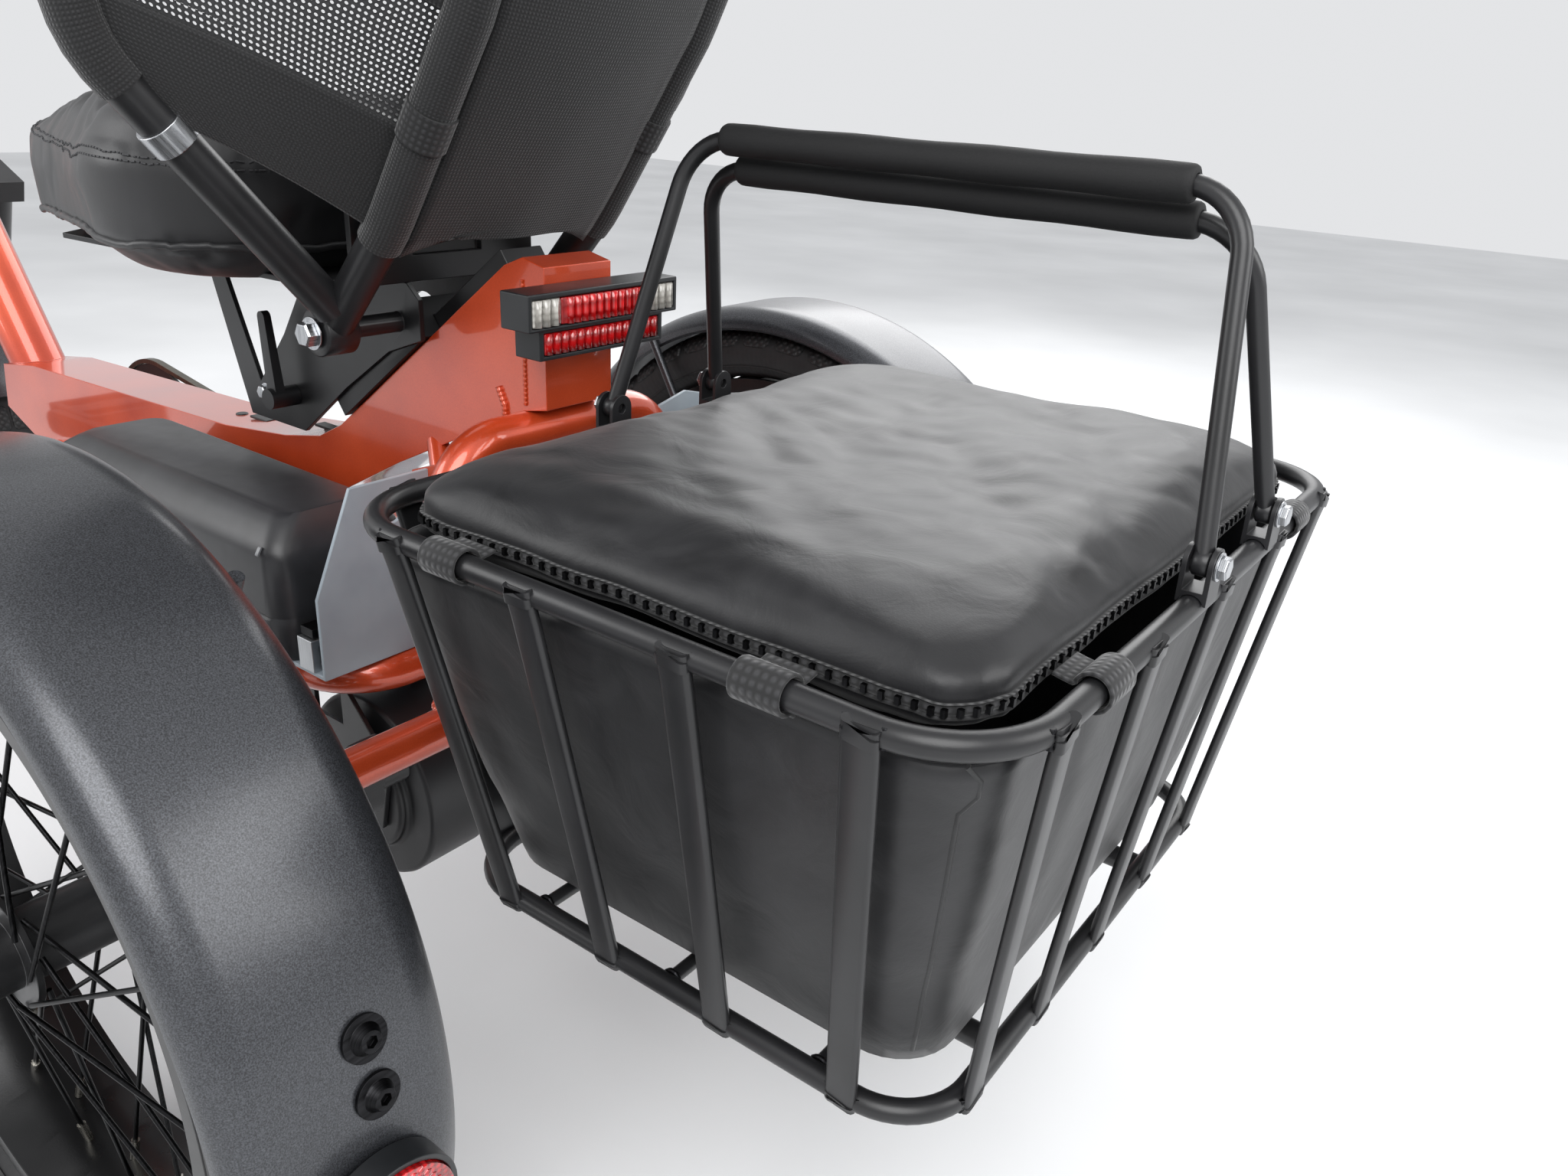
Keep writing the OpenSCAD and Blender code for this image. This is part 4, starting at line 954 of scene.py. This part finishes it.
# CAD nodes that keep their own shape: finish, and each node with the bevel of its edges in mm
frameFinish = [
    (lacquer, {"frame_gussets": 0.8}),
    (plateEnamel, {"deck_plate": 0.8, "side_plate": 0.8}),
    (castBlack, {"axle_bearings": 1.2}),
    (blackCoat, {"rack_plate": 0.6}),
    (castBlack, {"motor_drum": 4}),
    (blackCoat, {"motor_bracket": 0.6}),
    (castBlack, {"brake_calipers": 1.0}),
    (blackCoat, {"seat_rail": 1.0, "seat_bracket": 0.8, "seat_pan": 0.6}),
    (castBlack, {"seat_clamp_lever": 1.0}),
    (chainSteel, {"drive_chain": 0.4}),
    (steelBright, {"rear_sprocket": 0.4}),
    (castBlack, {"crank_set": 0.8}),
    (lampAbs, {"pedal_left": 0.8, "pedal_right": 0.8}),
    (blackCoat, {"fork": 0.8, "handlebar": 0.4}),
    (gripRubber, {"hand_grips": 1.0}),
    (lampAbs, {"headlight": 1.2, "display": 1.6}),
    (fenderCoat, {"front_fender": 0.6}),
    (castBlack, {"brake_lever_left": 0.8, "brake_lever_right": 0.8}),
    (blackCoat, {"handle_brackets": 0.5}),
    (alloyBare, {"battery_clips": 0.5}),
    (gripRubber, {"battery_lead": 0}),
]
dress("main_beam", lacquer, 3.5, 30)
for finish, held in frameFinish:
    for node, bevel in held.items():
        dress(node, finish, bevel)
print("frame made")


# Tail light
lamp = {"back": -88, "z": 324, "wide": 134, "redHalf": 40, "rib": 6.4, "stripRib": 6.8}


def makeLampRibs(c):
    bm = bmesh.new()
    x = c["back"] - 0.4

    def facet(y, half, foot, rise, heights):
        loft(bm, [[Vector((x + foot, y - half, c["z"] + z)), Vector((x + foot - rise, y, c["z"] + z)),
                   Vector((x + foot, y + half, c["z"] + z))] for z in heights], closed=False)

    for k in range(-6, 7):  # upright facets on the upper lens
        if abs(k * c["rib"]) <= c["redHalf"] - 3:
            facet(k * c["rib"], 3.3, 0.6, 1.9, (-8, -2.5, 2.5, 8))
    for k in range(-7, 8):
        facet(k * c["stripRib"], 3.2, 3.6, 1.5, (-26.4, -20, -13.6))
    piece("lamp_ribs", bm, lampRed, "frame", smooth=10, thick=0.6)
    bm = bmesh.new()
    for s in (-1, 1):
        for k in (-1, 0, 1):
            facet(s * (c["wide"] / 2 - 15) + k * 7, 3.3, 0.6, 1.9, (-8, 0, 8))
    piece("turn_ribs", bm, clearLens, "frame", smooth=10, thick=0.6)


makeLampRibs(lamp)
dress("tail_light_housing", lampAbs, 2.0)
dress("tail_light_lens", lampRed, 1.0)
dress("turn_lenses", clearLens, 1.0)
print("lamp made")


# Battery
battery = {"x": 62, "y": 104, "long": 370, "wide": 112, "high": 102, "base": 69.4}


def makeBattery(c):
    x, y, z, l, w, h = (c[k] for k in ("x", "y", "base", "long", "wide", "high"))

    def ring(t, inset, extra=0):
        back = 5 + 16 * max(0, (t - 0.72) / 0.28) ** 1.3
        front = 2 + (62 if t > 0.55 else 0) * ((t - 0.55) / 0.45) ** 1.2 if t > 0.55 else 2
        side = inset + 14 * max(0, (t - 0.78) / 0.22) ** 1.2
        return [Vector((p.x, p.y + y, z + h * t + extra))
                for p in ringOf(l - back - front, w - 2 * side - 2, 20 - 6 * t, x + back + (l - back - front) / 2,
                                0, 8)]

    bm = bmesh.new()
    levels = [(0, 3), (0.02, 1.2), (0.30, 0.4), (0.315, 1.4), (0.325, 1.4), (0.34, 0.4), (0.62, 0.4), (0.74, 0.6),
              (0.80, 1.0), (0.86, 2.0), (0.92, 3.4), (0.97, 5.5), (1.0, 9.0)]
    loft(bm, [ring(t, i) for t, i in levels], capLow=True, capHigh=True)
    piece("battery_shell", bm, batteryAbs, "frame", ("battery_case",), bevel=0.8, smooth=32)
    bm = bmesh.new()
    path = sorted((p for p in ring(0.80, -0.2) if p.y > y and x + 18 < p.x < x + l - 50), key=lambda p: p.x)
    sweep(bm, [path[0], path[-1]], flatSection(7, 1.6), up=(0, 0.82, 0.57))
    piece("battery_band", bm, batteryBand, "frame", bevel=0.3)
    bm = bmesh.new()
    badge = [Vector((x + 96 + a, y + w / 2 - 0.9, z + 50 + b)) for a, b in ((0, 0), (15, 4), (5, 13))]
    loft(bm, [badge, [p + Vector((0, 1.6, 0)) for p in badge]], capLow=True, capHigh=True)
    piece("battery_badge", bm, batteryBand, "frame", bevel=0.4)
    bm = bmesh.new()
    for dy in (-16, 16):
        hexHead(bm, (x - 9, y + dy * 1.9, z + 21.4), (0, 0, 1), 8, 3.5, 6)
    block(bm, (x - 15, y - 44, z + 24.6), (x - 1, y + 44, z + 31))
    piece("battery_catch", bm, boltBlack, "frame", bevel=0.5)


makeBattery(battery)
print("battery made")


# Basket
basket = {"x": -308, "long": 372, "wide": 463, "rimZ": 249, "floorLong": 316, "floorWide": 371, "floorZ": 23,
          "corner": 50, "tube": 6, "barWide": 17, "runners": 66,
          "sideBars": (-0.36, -0.12, 0.12, 0.36), "endBars": (-0.4, -0.2, 0, 0.2, 0.4)}


def basketBar(bm, welds, high, low, out, wide):
    high, low, out = Vector(high), Vector(low), Vector(out)
    path = [high + out * 3.4 + Vector((0, 0, 2.6)), high + out * 5.0 - Vector((0, 0, 4)),
            high.lerp(low, 0.06) + out * 4.2, high.lerp(low, 0.94) + out * 3.6, low + out * 4.6,
            low + out * 3.4 - Vector((0, 0, 3.4))]
    sweep(bm, flowing(path, 3), flatSection(wide, 5.2, 5), up=out)
    side = out.cross(Vector((0, 0, 1)))
    for p, drop in ((high, 4.5), (low, -4.2)):
        for k in (-1, 1):
            spot = p + side * k * (wide / 2 + 0.4) + out * 2.6
            bead(welds, [spot + Vector((0, 0, drop)), spot - Vector((0, 0, drop))], 1.7, 2.4)


def makeBasket(c):
    x, l, w, fl, fw = c["x"], c["long"], c["wide"], c["floorLong"], c["floorWide"]
    bm, welds = bmesh.new(), bmesh.new()
    rim = rounded([(x + l / 2, w / 2, c["rimZ"]), (x - l / 2, w / 2, c["rimZ"]), (x - l / 2, -w / 2, c["rimZ"]),
                   (x + l / 2, -w / 2, c["rimZ"])], c["corner"], closed=True, steps=12)
    low = rounded([(x + fl / 2, fw / 2, c["floorZ"]), (x - fl / 2, fw / 2, c["floorZ"]),
                   (x - fl / 2, -fw / 2, c["floorZ"]), (x + fl / 2, -fw / 2, c["floorZ"])], 40, closed=True,
                  steps=12)
    sweep(bm, rim, c["tube"], closed=True, up=(0, 0, 1))
    sweep(bm, low, c["tube"], closed=True, up=(0, 0, 1))
    for s in (-1, 1):
        for f in c["sideBars"]:
            basketBar(bm, welds, (x + f * l, s * w / 2, c["rimZ"]), (x + f * fl, s * fw / 2, c["floorZ"]),
                      (0, s, 0), c["barWide"])
        for f in c["endBars"]:
            basketBar(bm, welds, (x + s * l / 2, f * w, c["rimZ"]), (x + s * fl / 2, f * fw, c["floorZ"]),
                      (s, 0, 0), c["barWide"])
        z = c["runners"]
        sweep(bm, rounded([(-56.3, s * 100, z), (-100, s * 100, z), (-140, s * 100, c["floorZ"] - 12),
                           (x - fl / 2 + 2, s * 100, c["floorZ"] - 12)], 20), 7)
    for f in (-0.3, 0, 0.3):
        sweep(bm, [(x + f * fl, fw / 2, c["floorZ"]), (x + f * fl, -fw / 2, c["floorZ"])], 4, sides=16)
        for s in (-1, 1):
            bead(welds, loopRound((x + f * fl, s * (fw / 2 - 6), c["floorZ"]), (0, 1, 0), 4.4, 12), 1.5)
    piece("basket_rack", bm, blackCoat, "frame", ("basket_frame",), smooth=50)
    piece("basket_welds", welds, boltBlack, "frame", smooth=60)


makeBasket(basket)
print("basket made")


# Bag and lid
bag = {"inset": 6.6, "top": 235, "bottom": 37}


def wrinkle(p, size, seed):
    return noise.noise(Vector((p.x, p.y, p.z)) / size + Vector((seed, seed * 2, 0)))


def makeBag(c, b):
    x, l, w, fl, fw = b["x"], b["long"], b["wide"], b["floorLong"], b["floorWide"]
    bm = bmesh.new()
    rings = []
    inset = c["inset"] + 4
    for k in range(25):
        t = k / 24
        z = c["bottom"] + (c["top"] - c["bottom"]) * t
        length = (fl - 2 * inset - 8) * (1 - t) + (l - 2 * inset) * t
        width = (fw - 2 * inset - 8) * (1 - t) + (w - 2 * inset) * t
        fine = finely(rounded([(x + length / 2, width / 2, z), (x - length / 2, width / 2, z),
                               (x - length / 2, -width / 2, z), (x + length / 2, -width / 2, z)], 34, closed=True,
                              steps=8), 11)
        for i, p in enumerate(fine):
            out = unitOf(Vector((p.x - x, p.y, 0)))
            belly = math.sin(math.pi * t) * 2.6
            ripple = (wrinkle(p, 46, 3) * 1.9 + wrinkle(Vector((p.x, p.y, p.z * 0.35)), 24, 9) * 1.3) * min(
                1, 4 * t, 4 * (1 - t) + 0.2)
            fine[i] = p + out * (min(3.0, belly + ripple) - 1.4)
        rings.append(fine)
    made = loft(bm, rings)
    bm.faces.new(list(reversed(made[0])))
    bagPiece = piece("bag_liner_cloth", bm, bagCloth, "frame", ("bag_liner",), smooth=70, thick=2.2)
    bm = bmesh.new()
    for sx, sy in ((1, 1), (-1, 1), (-1, -1), (1, -1)):
        sweep(bm, [max(ring, key=lambda p: sx * (p.x - x) * 1.2 + sy * p.y) for ring in rings[1:]], 1.6, sides=8)
    piece("bag_corner_piping", bm, linerCloth, "frame", smooth=60)


makeBag(bag, basket)


# Fills a closed shape like a stuffed pad: voxel shell, air pressure, capped moves
def swell(name, node, material, c):
    skin = nodes[node].data.copy()
    middle = middleOf(node)
    for v in skin.vertices:
        v.co = middle + Vector(((v.co.x - middle.x) * c["start"], (v.co.y - middle.y) * c["start"],
                                (v.co.z - middle.z) * c["startHigh"]))
    pad = bpy.data.objects.new(name, skin)
    bpy.context.scene.collection.objects.link(pad)
    shell = pad.modifiers.new("shell", "REMESH")
    shell.mode, shell.voxel_size = "VOXEL", c["voxel"] * mm
    pad.data = settled(pad)
    pad.modifiers.clear()
    rest = [v.co.copy() for v in pad.data.vertices]
    air = pad.modifiers.new("air", "CLOTH")
    air.settings.use_pressure = True
    air.settings.uniform_pressure_force = c["pressure"]
    air.settings.effector_weights.gravity = 0
    air.settings.quality = 5
    air.collision_settings.use_collision = False
    for f in range(1, 21):
        bpy.context.scene.frame_set(f)
    pad.data = settled(pad)
    pad.modifiers.clear()
    bpy.context.scene.frame_set(1)
    for v, was in zip(pad.data.vertices, rest):
        move = v.co - was
        if move.length > c["cap"] * mm:
            v.co = was + move.normalized() * c["cap"] * mm
    pad.data.materials.clear()
    pad.data.materials.append(material)
    pad.data.shade_smooth()
    return pad


def settled(thing):
    return bpy.data.meshes.new_from_object(thing.evaluated_get(bpy.context.evaluated_depsgraph_get()))


def finishPad(pad, body, node):
    fine = pad.modifiers.new("fine", "SUBSURF")
    fine.levels = fine.render_levels = 1
    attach(pad, body)
    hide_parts(node)


# Lays a path of points (mm) on a finished pad, lifted a little off its skin
def onSkin(pad, path, lift):
    tree = BVHTree.FromObject(pad, bpy.context.evaluated_depsgraph_get())
    out = []
    for p in path:
        spot, normal = tree.find_nearest(axle + Vector(p) * mm)[:2]
        out.append((spot - axle) / mm + normal * lift)
    return out


lid = {"voxel": 6, "pressure": 3, "cap": 9, "start": 0.985, "startHigh": 0.80, "dip": 7, "seamZ": 249,
       "foldFrom": 241}


def makeLid(c, b):
    pad = swell("bag_lid_pad", "bag_lid", bagCloth, c)
    low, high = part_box("bag_lid")
    x0, half, wide = b["x"], (high[0] - low[0]) / 2 / mm, (high[1] - low[1]) / 2 / mm
    for v in pad.data.vertices:
        p = (v.co - axle) / mm
        u, w = (p.x - x0) / half, p.y / wide
        top = max(0, min(1, (p.z - c["foldFrom"]) / 22))
        across = max(0, 1 - u * u) * max(0, 1 - w * w)
        fold = abs(wrinkle(Vector((p.x * 0.7 + p.y * 0.5, p.y * 0.35, 0)), 62, 4)) * 9
        fold += wrinkle(p, 120, 7) * 6 + wrinkle(Vector((p.x, p.y * 1.6, 0)), 28, 2) * 2.2
        p.z += top * (across ** 0.5) * (fold - c["dip"] * across) * 0.9
        side = 1 - top
        out = Vector((u, w, 0))
        if out.length > 0.01:
            p += unitOf(out) * side * (wrinkle(Vector((p.x, p.y, p.z * 0.4)), 40, 6) * 2.2 - 1.0)
        p.z = min(p.z, (high[2] - axle.z) / mm + 6)
        v.co = axle + p * mm
    finishPad(pad, "lid", "bag_lid")
    bpy.context.view_layer.update()
    l, w = 2 * half, 2 * wide
    around = rounded([(x0 + l / 2, w / 2, c["seamZ"]), (x0 - l / 2, w / 2, c["seamZ"]),
                      (x0 - l / 2, -w / 2, c["seamZ"]), (x0 + l / 2, -w / 2, c["seamZ"])], 40, closed=True)
    fine = finely(around, 8)
    bm = bmesh.new()
    sweep(bm, onSkin(pad, fine, 0.3), flatSection(2.6, 6.5), closed=True, up=(0, 0, 1))
    piece("lid_zip_band", bm, webbing, "lid", smooth=50)
    bm = bmesh.new()
    tooth = Vector((1.1, 1.1, 1.8))
    for place in onSkin(pad, fine, 1.9):
        block(bm, place - tooth, place + tooth)
    piece("lid_zip_teeth", bm, boltBlack, "lid", smooth=30)


makeLid(lid, basket)

straps = {"wide": 25, "thick": 1.8, "side": (0.26, -0.235), "rear": (0.3, -0.28), "reach": 8.2}


def makeStraps(c, b):
    bm = bmesh.new()
    spots = [((b["x"] + f * b["long"], s * b["wide"] / 2), (0, s, 0)) for f in c["side"] for s in (-1, 1)]
    spots += [((b["x"] - b["long"] / 2, f * b["wide"]), (-1, 0, 0)) for f in c["rear"]]
    for (x, y), out in spots:
        out = Vector(out)
        centre = Vector((x, y, b["rimZ"]))
        path = []
        for k in range(21):
            a = math.radians(168 - 13 * k)
            path.append(centre + out * c["reach"] * math.cos(a) + Vector((0, 0, 1)) * c["reach"] * math.sin(a))
        path = [path[0] - out * 9 + Vector((0, 0, 1.5))] + path + [path[-1] - out * 3 - Vector((0, 0, 2))]
        sweep(bm, flowing(path, 2), flatSection(c["wide"], c["thick"]))
    made = piece("rim_straps", bm, webbing, "frame", smooth=50)


makeStraps(straps, basket)
print("bag and lid made")


# Carry handles
handles = {"y": (30, -70), "grip": (-13, -29), "drop": (0, 17), "pivotZ": 269, "high": 160, "inset": 24,
           "cuff": (24, 24), "bend": 34, "wire": 5, "foam": 9}


def makeHandle(side, i, c, b):
    front, back = b["x"] + b["long"] / 2, b["x"] - b["long"] / 2
    y, g, z0 = c["y"][i], c["grip"][i], c["pivotZ"]
    top = z0 + c["high"] - c["drop"][i]
    bm = bmesh.new()
    foot = [(front, y, z0), (front - c["inset"], g, top), (back + c["inset"], g, top), (back, y, z0)]
    sweep(bm, rounded(foot, c["bend"], steps=10), c["wire"], sides=18)
    for x in (front, back):
        turned(bm, [(0, x - 4), (5.6, x - 4), (6.4, x - 3.2), (6.4, x + 3.2), (5.6, x + 4), (0, x + 4)],
               (0, y, z0), "X", 24, closed=False)
    piece("handle_wire_" + side, bm, blackCoat, "handle_" + side, ("carry_handle_" + side,),
          smooth=50)
    bm = bmesh.new()
    a, q = back + c["inset"] + c["cuff"][i], front - c["inset"] - c["cuff"][i]
    r = c["foam"]
    ends = [(c["wire"], a), (r - 2.4, a), (r - 0.9, a + 0.7), (r - 0.2, a + 2.2), (r, a + 5)]
    swells = [(r + 0.3 * math.sin(k * 1.3), a + 5 + (q - a - 10) * k / 16) for k in range(1, 16)]
    turned(bm, ends + swells + [(p, q - (h - a)) for p, h in reversed(ends)], (0, g, top), "X", 36, closed=False)
    made = piece("foam_grip_" + side, bm, foam, "handle_" + side, smooth=50)


for i, side in enumerate(("left", "right")):
    makeHandle(side, i, handles, basket)
bm = bmesh.new()
for y in handles["y"]:
    for s in (-1, 1):
        x = basket["x"] + s * basket["long"] / 2
        hexHead(bm, (x + s * 7.3, y, handles["pivotZ"]), (s, 0, 0), 10, 4, 7)
piece("handle_bolts", bm, steelBright, "frame", bevel=0.3, smooth=30)
print("carry handles made")


# Seat
seat = {"voxel": 6, "pressure": 4, "cap": 10, "start": 0.965, "startHigh": 0.93, "topSeam": 404, "lowSeam": 332,
        "long": 390, "wide": 372, "x": 285}


def makeSeat(c):
    pad = swell("seat_cushion_pad", "seat_cushion", seatVinyl, c)
    for v in pad.data.vertices:
        p = (v.co - axle) / mm
        fromSeam = abs(p.z - c["topSeam"])
        u, w = (p.x - c["x"]) / c["long"] * 2, p.y / c["wide"] * 2
        edge = min(1, math.hypot(u, w))
        if fromSeam < 14 and edge > 0.6:
            p.x -= (p.x - c["x"]) * 0.016 * (1 - fromSeam / 14)
            p.y -= p.y * 0.016 * (1 - fromSeam / 14)
        if p.z > c["topSeam"]:
            p.z += wrinkle(Vector((p.x, p.y, 0)), 130, 5) * 3
            p.z -= 7 * math.exp(-(p.y / 34) ** 2) * (1 if p.x > c["x"] else 0.6)
        p += Vector((wrinkle(p, 60, 1), wrinkle(p, 60, 2), 0)) * 0.8
        v.co = axle + p * mm
    finishPad(pad, "seat", "seat_cushion")
    bpy.context.view_layer.update()
    l, w = c["long"], c["wide"]
    plan = rounded([(c["x"] - l / 2, w / 2, 0), (c["x"] - l / 2, -w / 2, 0), (c["x"] + l * 0.18, -w / 2, 0),
                    (c["x"] + l / 2, -62, 0), (c["x"] + l / 2, 62, 0), (c["x"] + l * 0.18, w / 2, 0)], 80,
                   closed=True)
    fine = finely(plan, 5)
    bm = bmesh.new()
    sweep(bm, onSkin(pad, [p + Vector((0, 0, c["lowSeam"])) for p in fine], 0.8), 2.6, closed=True, sides=10)
    piece("seat_piping", bm, seatVinyl, "seat", smooth=60)
    bm = bmesh.new()
    for lift in (-5, 5):
        ring = onSkin(pad, [p + Vector((0, 0, c["topSeam"] + lift)) for p in fine], 0.25)
        for a, q in zip(ring, ring[1:] + ring[:1]):
            if (q - a).length > 1.5:
                sweep(bm, [a, a.lerp(q, 0.3), a.lerp(q, 0.64)], 0.65, sides=6)
    piece("seat_stitches", bm, thread, "seat", smooth=60)


makeSeat(seat)
bm = bmesh.new()
for s in (-1, 1):
    hexHead(bm, (57.6, s * 63, 354), (-1, 0, 0), 13, 6, 8.4)
    for x, z in ((254, 209), (232, 209)):
        hexHead(bm, (x, s * 38.2, z), (0, s, 0), 10, 5, 7)
    hexHead(bm, (78, s * 105.4, 292), (0, s, 0), 15, 7, 11)
piece("seat_fixings", bm, steelBright, "seat", bevel=0.4, smooth=30)
print("seat made")


# Backrest
backrest = {"tube": 12.5,
            "upright": [(78, 91, 292), (8, 91, 368), (-76, 91, 488), (-146, 91, 622), (-171, 91, 772)],
            "wing": [(64, 98, 310), (60, 232, 462), (48, 250, 542), (-30, 236, 672), (-120, 180, 758),
                     (-172, 90, 778)], "sleeve": 14.0}


def along(path, t):
    spans = travelled(path)
    want = max(0, min(1, t)) * spans[-1]
    for i in range(len(path) - 1):
        if spans[i + 1] >= want - 1e-6:
            return path[i].lerp(path[i + 1], (want - spans[i]) / (spans[i + 1] - spans[i]))
    return path[-1]


def part(path, t0, t1, count=40):
    return [along(path, t0 + (t1 - t0) * k / count) for k in range(count + 1)]


def mirrorY(path):
    return [Vector((p[0], -p[1], p[2])) for p in path]


def makeBackrest(c):
    up = rounded(c["upright"], 60, steps=10)
    wing = rounded(c["wing"], 70, steps=10)
    bow = rounded(c["wing"] + mirrorY(reversed(c["wing"])), 70, steps=10)
    bm = bmesh.new()
    sweep(bm, bow, c["tube"], sides=24)
    for s in (1, -1):
        side = up if s == 1 else mirrorY(up)
        sweep(bm, side, c["tube"], sides=24)
        turned(bm, [(7.2, -12), (15, -12), (16, -11), (16, 11), (15, 12), (7.2, 12)], (78, s * 91, 292), "Y", 40)
    piece("backrest_tubes", bm, blackCoat, "backrest", ("backrest_frame",), smooth=50)
    bm = bmesh.new()
    for s in (1, -1):
        w, u = (wing, up) if s == 1 else (mirrorY(wing), mirrorY(up))
        sweep(bm, part(w, 0.26, 0.97), c["sleeve"], sides=20)
        sweep(bm, part(u, 0.16, 0.98), c["sleeve"], sides=20)
    made = piece("tube_sleeves", bm, fineWeave, "backrest", smooth=50)
    bm = bmesh.new()
    rows = []
    for k in range(31):
        p = along(up, 0.15 + 0.83 * k / 30)
        q = along(up, 0.16 + 0.83 * k / 30)
        back = unitOf(Vector((-(q - p).z, 0, (q - p).x)))
        row = []
        for j in range(25):
            t = j / 24 * 2 - 1
            give = 9 * (1 - t * t) * math.sin(math.pi * min(1, k / 30 + 0.1))
            hem = 26 * (1 - t * t) if k == 0 else 0
            row.append(Vector((p.x, t * 80, p.z)) + back * (give + 9) + (q - p).normalized() * hem
                       + back * wrinkle(Vector((t * 80, k * 16, 0)), 50, 8) * 1.6)
        rows.append(row)
    loft(bm, rows, closed=False)
    made = piece("back_panel_cloth", bm, fineWeave, "backrest", ("backrest_panel",), smooth=60,
                 thick=2.4)

    def wingSheet(name, t0, t1, material, lift, thick, edge=(0.06, 0.94)):
        bm = bmesh.new()
        for s in (1, -1):
            w, u = (wing, up) if s == 1 else (mirrorY(wing), mirrorY(up))
            rows = []
            for k in range(25):
                t = t0 + (t1 - t0) * k / 24
                a, b = along(w, 0.24 + 0.62 * t), along(u, 0.17 + 0.78 * t)
                rows.append([a.lerp(b, edge[0] + (edge[1] - edge[0]) * j / 16) + Vector((-1, 0, 0.2)) * (
                    lift + 7 * math.sin(math.pi * j / 16)) for j in range(17)])
            loft(bm, rows, closed=False)
        made = piece(name, bm, material, "backrest", smooth=60, thick=thick)

    wingSheet("wing_mesh", 0.16, 0.97, backMesh, 0, 0.8)
    wingSheet("wing_lower_cloth", 0.0, 0.17, fineWeave, 0, 1.8)
    wingSheet("wing_band_upper", 0.62, 0.72, webbing, 2.2, 1.6, (0.0, 1.0))
    wingSheet("wing_band_lower", 0.34, 0.47, fineWeave, 2.0, 1.4, (0.0, 1.0))
    bm = bmesh.new()
    for s in (1, -1):
        u = up if s == 1 else mirrorY(up)
        for t in (0.30, 0.55, 0.80):
            p, q = along(u, t), along(u, t + 0.02)
            sweep(bm, [p, p.lerp(q, 0.5), q, q + (q - p)], c["sleeve"] + 1.5, sides=20)
    made = piece("sleeve_bands", bm, webbing, "backrest", smooth=50)
    bm = bmesh.new()
    for s in (1, -1):
        w = wing if s == 1 else mirrorY(wing)
        p, q = along(w, 0.20), along(w, 0.222)
        sweep(bm, [p, q], c["tube"] + 2, sides=24)
    piece("wing_collars", bm, steelBright, "backrest", bevel=0.6, smooth=40)


makeBackrest(backrest)
print("backrest made")
